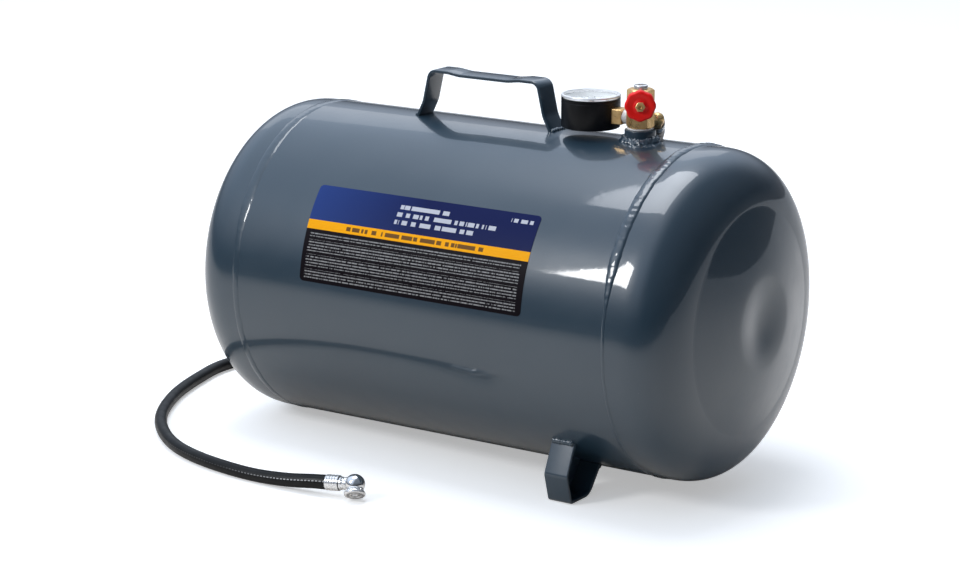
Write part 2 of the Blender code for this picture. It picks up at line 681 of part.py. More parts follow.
def build_fill_valve():
    body = turned("fill_valve_body", [
        (3.85 * MM, 33 * MM),
        (3.85 * MM, 14 * MM),
        (3.3 * MM, 14 * MM),
        (3.3 * MM, 8.4 * MM),
        (1.2 * MM, 8.4 * MM),
        (1.2 * MM, 19 * MM),
        (2.0 * MM, 19 * MM),
        (2.0 * MM, 33 * MM),
    ], FILL_FRAME, BRASS, closed=True)
    collar = hexagon("fill_hexagon", 11 * MM, 11.3 * MM, 16.5 * MM, FILL_FRAME)
    cut(collar, rod("fill_hexagon_bore", 2 * MM, 10 * MM, 18 * MM, FILL_FRAME, segments=12))
    join(body, collar)
    ring("fill_valve_core", 0.8 * MM, 1.7 * MM, 22 * MM, 31.5 * MM, FILL_FRAME, BRASS, segments=12)
    turned("fill_valve_pin", [
        (0, 32.6 * MM),
        (0.5 * MM, 32.6 * MM),
        (0.5 * MM, 21.7 * MM),
        (1.5 * MM, 21.7 * MM),
        (1.5 * MM, 21.0 * MM),
        (0, 21.0 * MM),
    ], FILL_FRAME, STEEL, segments=12)
    turned("fill_valve_cap", [
        (0, 35.4 * MM),
        (4.0 * MM, 35.4 * MM),
        (4.9 * MM, 34.6 * MM),
        (4.9 * MM, 24 * MM),
        (4.15 * MM, 24 * MM),
        (4.15 * MM, 34 * MM),
        (0, 34 * MM),
    ], FILL_FRAME, BLACK, segments=20)


# ---------------------------------------------------------------- gauge

def gear_teeth(pitch_radius, first_angle, count, pitch_angle):
    """Points of count teeth on an arc, the first tooth centred on first_angle."""
    addendum = 0.16 * MM
    dedendum = 0.26 * MM
    points = []
    for i in range(count):
        middle = first_angle + i * pitch_angle
        for share, radius in ((-0.26, -dedendum), (-0.11, addendum), (0.11, addendum), (0.26, -dedendum)):
            angle = middle + share * pitch_angle
            reach = pitch_radius + radius
            points.append((reach * math.cos(angle), reach * math.sin(angle)))
    return points


def build_gauge_case():
    case = turned("gauge_case", [
        (0, -12 * MM),
        (25.8 * MM, -12 * MM),
        (25.8 * MM, 14.3 * MM),
        (27.2 * MM, 14.3 * MM),
        (27.2 * MM, -11.7 * MM),
        (25.6 * MM, -13.2 * MM),
        (0, -13.2 * MM),
    ], GAUGE_FRAME, BLACK, segments=28)
    half = 7.3 * MM
    cut(case, block("socket_opening", (22 * MM, -half, -half), (30 * MM, half, half), GAUGE_FRAME))
    turned("gauge_lens", [
        (0, 16.9 * MM),
        (14 * MM, 16.8 * MM),
        (24.2 * MM, 16.1 * MM),
        (24.3 * MM, 15.3 * MM),
        (26.6 * MM, 15.3 * MM),
        (26.6 * MM, 14.6 * MM),
        (0, 14.6 * MM),
    ], GAUGE_FRAME, CLEAR, segments=28)
    turned("gauge_bezel", [
        (25.0 * MM, 17.4 * MM),
        (26.8 * MM, 17.4 * MM),
        (27.3 * MM, 16.9 * MM),
        (27.3 * MM, 15.6 * MM),
        (24.7 * MM, 15.6 * MM),
        (24.7 * MM, 17.1 * MM),
    ], GAUGE_FRAME, STEEL, segments=28, closed=True)
    ring("gauge_dial", 1.6 * MM, 25.3 * MM, 10 * MM, 10.6 * MM, GAUGE_FRAME, DIAL, segments=28)


def build_gauge_socket():
    """The socket block along the gauge's X axis: local X is up in the socket's frame."""
    low = (-7 * MM, -7 * MM, 24 * MM)
    high = (7 * MM, 7 * MM, 36.2 * MM)
    tongue_low = (-6.5 * MM, -5 * MM, 8 * MM)
    tongue_high = (0.4 * MM, 5 * MM, 25 * MM)
    socket = block("gauge_socket", low, high, SOCKET_FRAME, BRASS)
    join(socket,
         block("socket_tongue", tongue_low, tongue_high, SOCKET_FRAME),
         rod("socket_nipple", 5.2 * MM, 35 * MM, 44.2 * MM, SOCKET_FRAME, segments=20))
    cut(socket, rod("socket_bore", 1.6 * MM, 12 * MM, 46 * MM, SOCKET_FRAME, segments=12))
    ring("gauge_thread_tape", 5.5 * MM, 6.7 * MM, 36.5 * MM, 41.3 * MM, SOCKET_FRAME, TAPE, segments=20)
    start, end = math.radians(19), math.radians(282)
    tube_outline = arc(19.2 * MM, start, end, 24) + arc(16.8 * MM, end, start, 24)
    plate("gauge_bourdon_tube", [tube_outline], -6.2 * MM, 1.8 * MM, GAUGE_FRAME, BRASS)


def build_gauge_movement():
    centre_distance = PINION_PITCH_RADIUS * (1 + GEAR_RATIO)
    pivot = (centre_distance * math.cos(SECTOR_SIDE), centre_distance * math.sin(SECTOR_SIDE))
    build_movement_plates(pivot)
    pinion_pitch = 2 * math.pi / PINION_TEETH
    teeth = gear_teeth(PINION_PITCH_RADIUS, SECTOR_SIDE, PINION_TEETH, pinion_pitch)
    pinion = plate("gauge_pinion", [teeth], 3.4 * MM, 6.2 * MM, GAUGE_FRAME, BRASS)
    join(pinion, rod("pinion_shaft", 0.65 * MM, 1.0 * MM, 12.7 * MM, GAUGE_FRAME, segments=12))
    build_pointer()
    sector_frame = GAUGE_FRAME @ Matrix.Translation((*pivot, 0))
    sector_pitch = pinion_pitch / GEAR_RATIO
    facing = SECTOR_SIDE - math.pi
    count = SECTOR_TEETH_BEHIND + SECTOR_TEETH_AHEAD
    first = facing - (SECTOR_TEETH_BEHIND - 0.5) * sector_pitch
    radius = PINION_PITCH_RADIUS * GEAR_RATIO
    outline = gear_teeth(radius, first, count, sector_pitch) + [(0, 0)]
    sector = plate("gauge_sector_gear", [outline], 4.2 * MM, 5.4 * MM, sector_frame, BRASS)
    turn = Matrix.Rotation(TAIL_ANGLE, 4, "Z")
    tail = block("sector_tail", (0, -0.9 * MM, 4.3 * MM), (TAIL_LENGTH + 1 * MM, 0.9 * MM, 5.2 * MM),
                 sector_frame @ turn)
    join(sector, rod("sector_hub", 2 * MM, 3.8 * MM, 6.0 * MM, sector_frame), tail,
         rod("sector_arbor", 0.65 * MM, 1.0 * MM, 8.6 * MM, sector_frame, segments=12))
    link_origin = sector_frame @ turn @ Matrix.Translation((TAIL_LENGTH, 0, 0)) @ turn.inverted()
    pin = rod("sector_link_pin", 0.5 * MM, 2.5 * MM, 4.8 * MM, link_origin, segments=10)
    join(sector, pin)
    link_turn = Matrix.Rotation(LINK_ANGLE, 4, "Z")
    bar = block("gauge_link", (-1.4 * MM, -1.1 * MM, 2.7 * MM), (LINK_LENGTH, 1.1 * MM, 3.4 * MM),
                link_origin @ link_turn, BRASS)
    cut(bar, rod("link_hole", 0.8 * MM, 2 * MM, 4 * MM, link_origin @ link_turn, segments=12),
        rod("link_tip_hole", 0.6 * MM, 2 * MM, 4 * MM,
            link_origin @ link_turn @ Matrix.Translation((LINK_LENGTH - 1.4 * MM, 0, 0)), segments=12))


def build_movement_plates(pivot):
    middle = (-3.5 * MM, -3.5 * MM)
    holes = [circle(0.95 * MM, 12), circle(0.95 * MM, 12, pivot)]
    outline = circle(11.2 * MM, 28, middle)
    lower = plate("gauge_lower_plate", [outline, *holes], 0.8 * MM, 1.8 * MM, GAUGE_FRAME, BRASS)
    plate("gauge_upper_plate", [outline, *holes], 8.0 * MM, 8.8 * MM, GAUGE_FRAME, BRASS)
    for name, angle in (("pillar_a", 150), ("pillar_b", -30)):
        turn = math.radians(angle)
        at = (middle[0] + 9.2 * MM * math.cos(turn), middle[1] + 9.2 * MM * math.sin(turn), 0)
        frame = GAUGE_FRAME @ Matrix.Translation(at)
        join(lower, rod(name, 1.2 * MM, 1.2 * MM, 7.7 * MM, frame, segments=12))


def build_pointer():
    """The pointer's needle runs along its own X, turned to the dial's zero."""
    frame = GAUGE_FRAME @ Matrix.Rotation(POINTER_ZERO, 4, "Z")
    outline = [
        (-7 * MM, -1.1 * MM),
        (0, -1.3 * MM),
        (19.5 * MM, -0.25 * MM),
        (19.5 * MM, 0.25 * MM),
        (0, 1.3 * MM),
        (-7 * MM, 1.1 * MM),
    ]
    pointer = plate("gauge_pointer", [outline], 11.7 * MM, 12.2 * MM, frame, BLACK)
    join(pointer, rod("pointer_hub", 2.3 * MM, 11.4 * MM, 12.9 * MM, frame))
    cut(pointer, rod("pointer_bore", 0.95 * MM, 11 * MM, 14 * MM, frame, segments=12))


# ---------------------------------------------------------------- hose and chuck

def elbow_leg_frame():
    """The elbow's leg: it leaves the elbow backward and down, over the shell's back."""
    outward = Vector((math.cos(HOSE_ANGLE), math.sin(HOSE_ANGLE), 0))
    centre = Vector((MANIFOLD_X, 0, HOSE_Z)) + outward * ELBOW_REACH
    return frame_to(centre, LEG_DIRECTION, (0, 0, 1))


def build_hose_elbow():
    leg = elbow_leg_frame()
    elbow = ball("hose_elbow", 6.2 * MM, Matrix.Translation(leg.translation), BRASS)
    join(elbow,
         rod("elbow_nipple", 2.9 * MM, 8.4 * MM, ELBOW_REACH, HOSE_FRAME),
         hexagon("elbow_hexagon", 10 * MM, 11.3 * MM, ELBOW_REACH, HOSE_FRAME),
         hexagon("elbow_leg_hexagon", 11.5 * MM, 0, 9 * MM, leg),
         rod("elbow_barb", BARB_RADIUS, 8 * MM, 18 * MM, leg))
    cut(elbow, rod("elbow_bore_out", 1.5 * MM, 8 * MM, ELBOW_REACH, HOSE_FRAME, segments=10),
        rod("elbow_bore_leg", 1.3 * MM, 0, 21 * MM, leg, segments=10))
    ring("hose_ferrule_tank", HOSE_RADIUS + GAP, HOSE_RADIUS + 1.1 * MM, 9.4 * MM, 19 * MM, leg, STEEL)


def chuck_frame():
    x, y = CHUCK_FERRULE_START
    return frame_to((x, y, ground_z(x) + CHUCK_FERRULE_HEIGHT), CHUCK_DIRECTION, (0, 0, 1))


def hose_points():
    """The hose's centreline: down the shell's back, along the ground, round the plain end to the front."""
    leg = elbow_leg_frame()
    lie = HOSE_RADIUS + GAP
    hug = SHELL_RADIUS + HOSE_RADIUS + 2.6 * MM
    points = [leg @ Vector((0, 0, z * MM)) for z in (9.8, 14.5, 19)]
    for x, degrees in ((134, 20), (112, 34), (95, 51), (82, 72)):
        turn = math.radians(degrees)
        points.append(Vector((x * MM, hug * math.sin(turn), hug * math.cos(turn))))
    for x, y, z in ((75, 162, -20), (71, 165, -80), (62, 170, -120), (38, 178, -144)):
        points.append(Vector((x * MM, y * MM, z * MM)))
    on_ground = (
        (0, 189), (-50, 198), (-100, 200.5), (-150, 195), (-245, 165), (-315, 115), (-350, 60),
        (-357.15, 14), (-349, -32), (-326, -102), (-280, -174), (-221, -219), (-152, -236.9),
        (-112, -237.65),
    )
    points += [Vector((x * MM, y * MM, ground_z(x * MM) + lie)) for x, y in on_ground]
    points.append(Vector((-78 * MM, -235 * MM, ground_z(-78 * MM) + 8.6 * MM)))
    chuck = chuck_frame()
    return points + [chuck @ Vector((0, 0, z * MM)) for z in (-6, 1, 8, 15)]


def build_hose():
    path = smooth_path(hose_points(), HOSE_POINT_SPACING)
    hose = wire("air_hose", path, HOSE_RADIUS, UPRIGHT, RUBBER, filled=False)
    wall = hose.modifiers.new("wall", "SOLIDIFY")
    wall.thickness = HOSE_WALL
    wall.offset = -1
    wall.use_even_offset = True


def build_chuck():
    along = chuck_frame()
    centre = along @ Vector((0, 0, CHUCK_HEAD_DISTANCE))
    mouth = frame_to(centre, MOUTH_DIRECTION, (1, 0, 0))
    ring("hose_ferrule_chuck", HOSE_RADIUS + GAP, HOSE_RADIUS + 1.2 * MM, 4 * MM, 17 * MM, along, STEEL)
    body = ball("chuck_body", CHUCK_HEAD_RADIUS, Matrix.Translation(centre), STEEL)
    join(body,
         rod("chuck_barb", BARB_RADIUS, 5 * MM, 19 * MM, along),
         rod("chuck_neck", 5.6 * MM, 17.4 * MM, 26 * MM, along, segments=16),
         rod("chuck_mouth", 9.2 * MM, 0, 10.9 * MM, mouth, segments=24))
    cut(body,
        rod("chuck_inlet", 1.3 * MM, 3 * MM, CHUCK_HEAD_DISTANCE, along, segments=10),
        rod("chuck_spring_bore", 2.9 * MM, -4 * MM, 11 * MM, mouth),
        rod("chuck_gasket_bore", 5.2 * MM, 4.6 * MM, 12 * MM, mouth, segments=20))
    ring("chuck_gasket", 2.3 * MM, 4.9 * MM, 6 * MM, 8.2 * MM, mouth, RUBBER, segments=20)
    ring("chuck_retainer", 3.6 * MM, 4.9 * MM, 8.5 * MM, 10.6 * MM, mouth, STEEL, segments=20)
    turned("chuck_poppet", [
        (0, 8 * MM),
        (1.0 * MM, 8 * MM),
        (1.0 * MM, 4.4 * MM),
        (2.5 * MM, 4.4 * MM),
        (2.5 * MM, 3.4 * MM),
        (1.0 * MM, 3.4 * MM),
        (1.0 * MM, -0.2 * MM),
        (0, -0.2 * MM),
    ], mouth, STEEL, segments=16)
    coil("chuck_spring", 1.9 * MM, 0.3 * MM, -3.4 * MM, 0.3 * MM, 3, mouth)


def build_label():
    """A printed film on the front of the shell, wrapped to its curve."""
    mesh_data = bmesh.new()
    bmesh.ops.create_grid(mesh_data, x_segments=1, y_segments=8, size=1.0)
    radius = SHELL_RADIUS + GAP + LABEL_THICKNESS
    for vertex in mesh_data.verts:
        x_share = (vertex.co.x + 1) / 2
        turn = LABEL_START + (LABEL_END - LABEL_START) * (vertex.co.y + 1) / 2
        vertex.co = (LABEL_LEFT + (LABEL_RIGHT - LABEL_LEFT) * x_share,
                     -radius * math.sin(turn), radius * math.cos(turn))
    bmesh.ops.recalc_face_normals(mesh_data, faces=mesh_data.faces)
    label = mesh_object("info_label", mesh_data, UPRIGHT, DECAL)
    film = label.modifiers.new("film", "SOLIDIFY")
    film.thickness = LABEL_THICKNESS
    film.offset = 0


def rest_on_footprint():
    """Moves the assembly so that the origin is the footprint's centre, on the foot pads' plane."""
    bpy.context.view_layer.update()
    graph = bpy.context.evaluated_depsgraph_get()
    lowest = Vector((1e9, 1e9, 1e9))
    highest = -lowest
    for obj in PARTS.objects:
        if obj.type == "EMPTY":
            continue
        solid = obj.evaluated_get(graph)
        shape = solid.to_mesh()
        for vertex in shape.vertices:
            point = solid.matrix_world @ vertex.co
            lowest = Vector(map(min, lowest, point))
            highest = Vector(map(max, highest, point))
        solid.to_mesh_clear()
    middle = (lowest + highest) / 2
    ASSEMBLY.location = (-round(middle.x, 4), -round(middle.y, 4), -FOOT_BOTTOM_Z)


ENVELOPE = envelope("shell_envelope")
build_vessel()
build_handle()
build_feet()
build_neck()
build_manifold()
build_shutoff_valve()
build_relief_valve()
build_fill_valve()
build_gauge_case()
build_gauge_socket()
build_gauge_movement()
build_hose_elbow()
build_hose()
build_chuck()
build_label()
rest_on_footprint()
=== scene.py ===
"""Looks for the portable air receiver tank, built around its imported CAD.

Shapes are worked out in millimetres in the tank's own frame: its origin is the middle of the
shell, +X runs to the manifold end, -Y is the label side and +Z is up. PLACE takes them to the
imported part's frame, in metres.
"""
import json
import math

import bmesh
import bpy
from mathutils import Matrix, Vector, noise


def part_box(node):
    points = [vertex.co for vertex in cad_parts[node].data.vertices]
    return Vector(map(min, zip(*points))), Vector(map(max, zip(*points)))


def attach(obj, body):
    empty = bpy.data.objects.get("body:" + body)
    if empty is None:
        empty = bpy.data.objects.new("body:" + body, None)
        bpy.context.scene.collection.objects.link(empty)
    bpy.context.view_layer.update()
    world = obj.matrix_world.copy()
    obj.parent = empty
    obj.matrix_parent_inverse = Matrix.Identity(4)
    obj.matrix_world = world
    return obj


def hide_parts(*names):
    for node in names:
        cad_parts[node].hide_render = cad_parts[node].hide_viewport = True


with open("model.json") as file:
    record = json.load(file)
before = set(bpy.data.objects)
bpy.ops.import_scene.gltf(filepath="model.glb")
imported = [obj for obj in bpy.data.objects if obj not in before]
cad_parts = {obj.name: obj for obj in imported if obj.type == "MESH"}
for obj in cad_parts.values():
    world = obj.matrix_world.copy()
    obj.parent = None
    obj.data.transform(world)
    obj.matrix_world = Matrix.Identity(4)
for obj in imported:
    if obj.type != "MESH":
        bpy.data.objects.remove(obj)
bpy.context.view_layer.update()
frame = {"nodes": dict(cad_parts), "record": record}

SCENE = bpy.context.scene
BODY_OF = {node: body for body, nodes in frame["record"]["behaviour"]["bodies"].items() for node in nodes}


def middle_of(node):
    low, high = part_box(node)
    return (Vector(low) + Vector(high)) / 2


SHELL_LOW, SHELL_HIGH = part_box("tank_shell")
ORIGIN = middle_of("tank_shell")
PLACE = Matrix.Translation(ORIGIN) @ Matrix.Scale(0.001, 4)

# Vessel
RADIUS = 500 * (SHELL_HIGH[2] - SHELL_LOW[2])
WALL = 2.0
SEAM_X = 202.3
SHELL_END = 202.0
HEAD_WALL = 2.4
HEAD_STRAIGHT = 11.1
KNUCKLE_HEIGHT = 53.3
KNUCKLE_DEPTH = 80.1
KNUCKLE_POWER = 2.57
RING_ANGLE = math.radians(72.3)
CROWN_HEIGHT = 13.6
CROWN_POWER = 1.25
DIMPLE_RADIUS = 42.7
DIMPLE_DEPTH = 5.0

# Straps
STRAP_WIDTH = 24.4
STRAP_THICKNESS = 3.0
HANDLE_X = -16.3
FOOT_X = 136.7
FOOT_BOTTOM = -162.2
GROUND_SLOPE = math.atan2(-FOOT_BOTTOM - RADIUS, FOOT_X + SEAM_X)

# Manifold and gauge
MANIFOLD_X = 1000 * (middle_of("neck_bung").x - ORIGIN.x)
MANIFOLD_FLATS = 22.0
MANIFOLD_BASE = 164.6
MANIFOLD_TOP = 199.8
NECK_RADIUS = 14.3
NECK_TOP = 162.6
VALVE_Z = 189.0
HOSE_Z = 170.5
RELIEF_Z = 171.5
FILL_Z = 184.0
GAUGE_X = 94.7
GAUGE_Z = 172.7
POINTER_ZERO = math.radians(-45)
POINTER_SWEEP = math.radians(270)

# Hose and chuck
HOSE_RADIUS = 6.1
ELBOW_REACH = 17.8
LEG_DIRECTION = Vector((-0.45, 0.73, -0.52))
CHUCK_FERRULE_START = (-44.0, -229.0)
CHUCK_FERRULE_HEIGHT = 12.2
CHUCK_DIRECTION = Vector((0.975, 0.20, 0.05)).normalized()
CHUCK_HEAD_DISTANCE = 31.6
CHUCK_HEAD_RADIUS = 9.4
MOUTH_DIRECTION = Vector((0.35, -0.52, -0.777)).normalized()

# Camera
EYE = Vector((1439.5, -2185.9, 650.4))
TARGET = Vector((-27.2, 0, -9.84))
LENS = 106.9
SENSOR = 36

# Label
LABEL_TOP = math.radians(49.3)
LABEL_BOTTOM = math.radians(84.1)
LABEL_LEFT = -126.5
LABEL_RIGHT = 117.0


# ---------------- frames

def frame_to(origin, z_axis, x_axis):
    """A frame at origin with its Z along z_axis and its X as near x_axis as possible."""
    z = Vector(z_axis).normalized()
    y = z.cross(Vector(x_axis)).normalized()
    x = y.cross(z)
    return Matrix.Translation(origin) @ Matrix((x, y, z)).transposed().to_4x4()


def port_frame(angle, height):
    """A manifold port: Z points out of the port, X points up, and the origin is on the manifold's axis."""
    turn = math.radians(angle)
    return frame_to((MANIFOLD_X, 0, height), (math.cos(turn), math.sin(turn), 0), (0, 0, 1))


UPRIGHT = Matrix.Identity(4)
RIGHT_END = frame_to((0, 0, 0), (1, 0, 0), (0, 0, 1))
LEFT_END = frame_to((0, 0, 0), (-1, 0, 0), (0, 0, 1))
MANIFOLD = Matrix.Translation((MANIFOLD_X, 0, 0))
VALVE = port_frame(-60, VALVE_Z)
HOSE_PORT = port_frame(60, HOSE_Z)
RELIEF = port_frame(120, RELIEF_Z)
FILL = port_frame(120, FILL_Z)
GAUGE = Matrix.Translation((GAUGE_X, 0, GAUGE_Z))
SOCKET = frame_to((GAUGE_X, 0, GAUGE_Z), (1, 0, 0), (0, 0, 1))


def ground_z(x):
    """Height of the ground under the tank: it touches the foot pads and the plain end's belly."""
    return -RADIUS - (x + SEAM_X) * math.tan(GROUND_SLOPE)


# ---------------- materials

class Look:
    """The node tree of a new material or world, with short calls to add and join nodes."""

    def __init__(self, name, kind="materials"):
        self.holder = getattr(bpy.data, kind).new(name)
        self.holder.use_nodes = True
        self.tree = self.holder.node_tree

    def add(self, kind, inputs=None, **settings):
        node = self.tree.nodes.new(kind)
        for name, value in settings.items():
            setattr(node, name, value)
        self.feed(node, inputs or {})
        return node

    def feed(self, node, inputs):
        for name, value in inputs.items():
            if isinstance(value, bpy.types.NodeSocket):
                self.tree.links.new(value, node.inputs[name])
            else:
                node.inputs[name].default_value = value

    def surface(self, **inputs):
        """Sets the main shader's inputs and returns the material."""
        named = {name.replace("_", " "): value for name, value in inputs.items()}
        self.feed(self.tree.nodes["Principled BSDF"], named)
        return self.holder

    def place(self):
        return self.add("ShaderNodeTexCoord").outputs["Object"]

    def stretched(self, scale):
        return self.add("ShaderNodeMapping", {"Vector": self.place(), "Scale": scale}).outputs["Vector"]

    def noise(self, scale, detail=3.0, vector=None):
        inputs = {"Vector": vector or self.place(), "Scale": scale, "Detail": detail}
        return self.add("ShaderNodeTexNoise", inputs).outputs["Fac"]

    def uv_axes(self):
        """The two coordinates of the mesh's UV layer."""
        parts = self.add("ShaderNodeSeparateXYZ", {0: self.add("ShaderNodeUVMap").outputs["UV"]})
        return parts.outputs["X"], parts.outputs["Y"]

    def spread(self, value, low, high, start=0.3, end=0.7):
        """value, taken from start..end to low..high."""
        inputs = {"Value": value, "From Min": start, "From Max": end, "To Min": low, "To Max": high}
        return self.add("ShaderNodeMapRange", inputs).outputs["Result"]

    def mix(self, share, first, second):
        node = self.add("ShaderNodeMix", data_type="RGBA")
        for socket, value in ((0, share), (6, first), (7, second)):
            if isinstance(value, bpy.types.NodeSocket):
                self.tree.links.new(value, node.inputs[socket])
            elif isinstance(value, tuple):
                node.inputs[socket].default_value = (*value, 1)
            else:
                node.inputs[socket].default_value = value
        return node.outputs[2]

    def math(self, operation, first, second=0.0):
        return self.add("ShaderNodeMath", {0: first, 1: second}, operation=operation).outputs[0]

    def bump(self, height, distance):
        return self.add("ShaderNodeBump", {"Height": height, "Distance": distance}).outputs["Normal"]


def paint_look():
    look = Look("slate_paint_look")
    clouds = look.spread(look.noise(9, 2), 0, 1)
    colour = look.mix(clouds, (0.018, 0.040, 0.062), (0.021, 0.045, 0.068))
    specks = look.spread(look.noise(900, 1), 0, 1, 0.72, 0.78)
    colour = look.mix(look.math("MULTIPLY", specks, 0.2), colour, (0.10, 0.14, 0.17))
    peel = look.noise(170, 2)
    return look.surface(
        Base_Color=colour,
        Roughness=look.spread(look.noise(30), 0.30, 0.38),
        Coat_Weight=1.0,
        Coat_Roughness=look.spread(look.noise(14), 0.03, 0.07),
        Coat_IOR=1.52,
        Coat_Normal=look.bump(peel, 0.00002),
        Normal=look.bump(peel, 0.00003),
    )


def brass_look():
    look = Look("brass_look")
    tarnish = look.spread(look.noise(160, 4), 0, 1, 0.35, 0.75)
    colour = look.mix(tarnish, (0.96, 0.66, 0.31), (0.78, 0.48, 0.18))
    lines = look.noise(90, 2, look.stretched((1, 1, 14)))
    return look.surface(
        Base_Color=colour,
        Metallic=0.78,
        Roughness=look.spread(look.noise(220, 3), 0.24, 0.38),
        Normal=look.bump(lines, 0.00003),
    )


def plated_look(name="plated_steel_look", metallic=0.72, low=0.07, high=0.16):
    look = Look(name)
    haze = look.spread(look.noise(140, 3), 0, 1)
    return look.surface(
        Base_Color=look.mix(haze, (0.96, 0.96, 0.96), (0.84, 0.84, 0.84)),
        Metallic=metallic,
        Roughness=look.spread(look.noise(260, 4), low, high),
        Normal=look.bump(look.noise(500, 2), 0.00001),
    )


def rubber_look():
    look = Look("black_rubber_look")
    dust = look.spread(look.noise(60, 5), 0, 1, 0.45, 0.8)
    return look.surface(
        Base_Color=look.mix(dust, (0.012, 0.012, 0.013), (0.035, 0.035, 0.037)),
        Roughness=look.spread(look.noise(90, 4), 0.28, 0.42),
        Specular_IOR_Level=0.6,
        Normal=look.bump(look.noise(700, 3), 0.00004),
    )


def hose_look():
    """Satin rubber with a painted highlight: a thin row of pale dashes along the hose's lit top that fades
    away from the chuck.

    U runs along the hose, in mm from the chuck's end, and V round it.
    """
    dashes_per_mm = 0.28
    highlight_turn = 0.93
    highlight_half_width = 0.012
    look = Look("hose_look")
    along, around = look.uv_axes()
    # The pale dashes are a painted highlight along the hose's lit top, fading away from the chuck
    dash = look.math("LESS_THAN", look.math("FRACT", look.math("MULTIPLY", along, dashes_per_mm)), 0.6)
    off_line = look.math("ABSOLUTE", look.math("SUBTRACT", around, highlight_turn))
    painted_highlight_dashes = look.math("MULTIPLY", dash, look.math("LESS_THAN", off_line, highlight_half_width))
    highlight_fade = look.spread(along, 0.75, 0.08, 50, 120)
    dust = look.spread(look.noise(60, 5), 0, 1, 0.45, 0.8)
    black = look.mix(dust, (0.005, 0.005, 0.005), (0.012, 0.012, 0.012))
    return look.surface(
        Base_Color=look.mix(look.math("MULTIPLY", painted_highlight_dashes, highlight_fade), black, (0.55, 0.55, 0.55)),
        Roughness=look.spread(look.noise(90, 4), 0.32, 0.46),
        Specular_IOR_Level=0.24,
        Normal=look.bump(look.noise(420), 0.00004),
    )


def enamel_look():
    look = Look("black_enamel_look")
    wear = look.spread(look.noise(120, 4), 0, 1, 0.5, 0.85)
    return look.surface(
        Base_Color=look.mix(wear, (0.004, 0.004, 0.005), (0.010, 0.010, 0.012)),
        Roughness=look.spread(look.noise(80), 0.30, 0.42),
        Specular_IOR_Level=0.24,
        Coat_Weight=0.10,
        Coat_Roughness=0.2,
        Normal=look.bump(look.noise(420, 2), 0.000006),
    )


def red_look():
    look = Look("red_plastic_look")
    flow = look.spread(look.noise(70, 2), 0, 1)
    return look.surface(
        Base_Color=look.mix(flow, (0.98, 0.014, 0.010), (0.90, 0.010, 0.008)),
        Roughness=look.spread(look.noise(180, 3), 0.34, 0.46),
        Specular_IOR_Level=0.25,
        Coat_Weight=0.12,
        Coat_Roughness=0.15,
        Normal=look.bump(look.noise(650, 2), 0.00003),
    )


def dial_look():
    look = Look("dial_white_painted_glow_look")
    tone = look.spread(look.noise(90, 2), 0, 1)
    return look.surface(
        Base_Color=look.mix(tone, (0.93, 0.94, 0.94), (0.88, 0.89, 0.89)),
        Roughness=0.42,
        # Painted light: the emission below makes the white dial glow a little, to lift it under the lens
        Emission_Color=(1.0, 1.0, 1.0, 1),
        Emission_Strength=0.15,
        Normal=look.bump(look.noise(800, 2), 0.00001),
    )


def lens_look():
    """Clear sheet: mostly seen through, with a faint reflection that grows at a low angle."""
    look = Look("clear_lens_look")
    clear = look.add("ShaderNodeBsdfTransparent", {"Color": (0.985, 0.99, 0.99, 1)})
    shine = look.add("ShaderNodeBsdfGlossy", {"Roughness": look.spread(look.noise(60, 2), 0.01, 0.04)})
    outside = look.math("SUBTRACT", 1.0, look.add("ShaderNodeNewGeometry").outputs["Backfacing"])
    share = look.math("MULTIPLY", look.add("ShaderNodeFresnel", {"IOR": 1.2}).outputs[0], outside)
    sheet = look.add("ShaderNodeMixShader", {0: share, 1: clear.outputs[0], 2: shine.outputs[0]})
    look.feed(look.tree.nodes["Material Output"], {"Surface": sheet.outputs[0]})
    return look.holder


def tape_look():
    look = Look("sealing_tape_look")
    wraps = look.noise(60, 3, look.stretched((1, 1, 22)))
    return look.surface(
        Base_Color=look.mix(look.spread(wraps, 0, 1), (0.86, 0.86, 0.84), (0.70, 0.70, 0.68)),
        Roughness=0.55,
        Subsurface_Weight=0.15,
        Subsurface_Radius=(0.001, 0.001, 0.001),
        Normal=look.bump(wraps, 0.0003),
    )


def within(look, value, low, high):
    """A mask that is 1 where value is between low and high."""
    return look.math("MULTIPLY", look.math("GREATER_THAN", value, low), look.math("LESS_THAN", value, high))


def dashes(look, u, v, across, down, fineness):
    """A mask of one row of plain dashes, where u is inside the pair across and v inside the pair down."""
    row_seed = 37 * down[0]
    words = look.add("ShaderNodeCombineXYZ", {0: look.math("MULTIPLY", u, fineness), 1: row_seed})
    mask = look.math("GREATER_THAN", look.noise(1.0, 1, words.outputs[0]), 0.43)
    mask = look.math("MULTIPLY", mask, within(look, u, *across))
    return look.math("MULTIPLY", mask, within(look, v, *down))


def fine_rows(look, u, v):
    """A mask of many fine rows of dashes in paragraphs, over the black field."""
    rows_per_height = 34.0
    row = look.math("MULTIPLY", v, rows_per_height)
    off_middle = look.math("ABSOLUTE", look.math("SUBTRACT", look.math("FRACT", row), 0.5))
    on_row = look.math("LESS_THAN", off_middle, 0.21)
    words = look.add("ShaderNodeCombineXYZ", {
        0: look.math("MULTIPLY", u, 260.0),
        1: look.math("MULTIPLY", look.math("FLOOR", row), 7.3),
    })
    paragraph = look.math("FRACT", look.math("ADD", look.math("MULTIPLY", v, 6.8), 0.28))
    mask = look.math("GREATER_THAN", look.noise(1.0, 2, words.outputs[0]), 0.45)
    for other in (on_row, within(look, u, 0.02, 0.975), within(look, v, 0.50, 0.97),
                  look.math("GREATER_THAN", paragraph, 0.2)):
        mask = look.math("MULTIPLY", mask, other)
    return mask


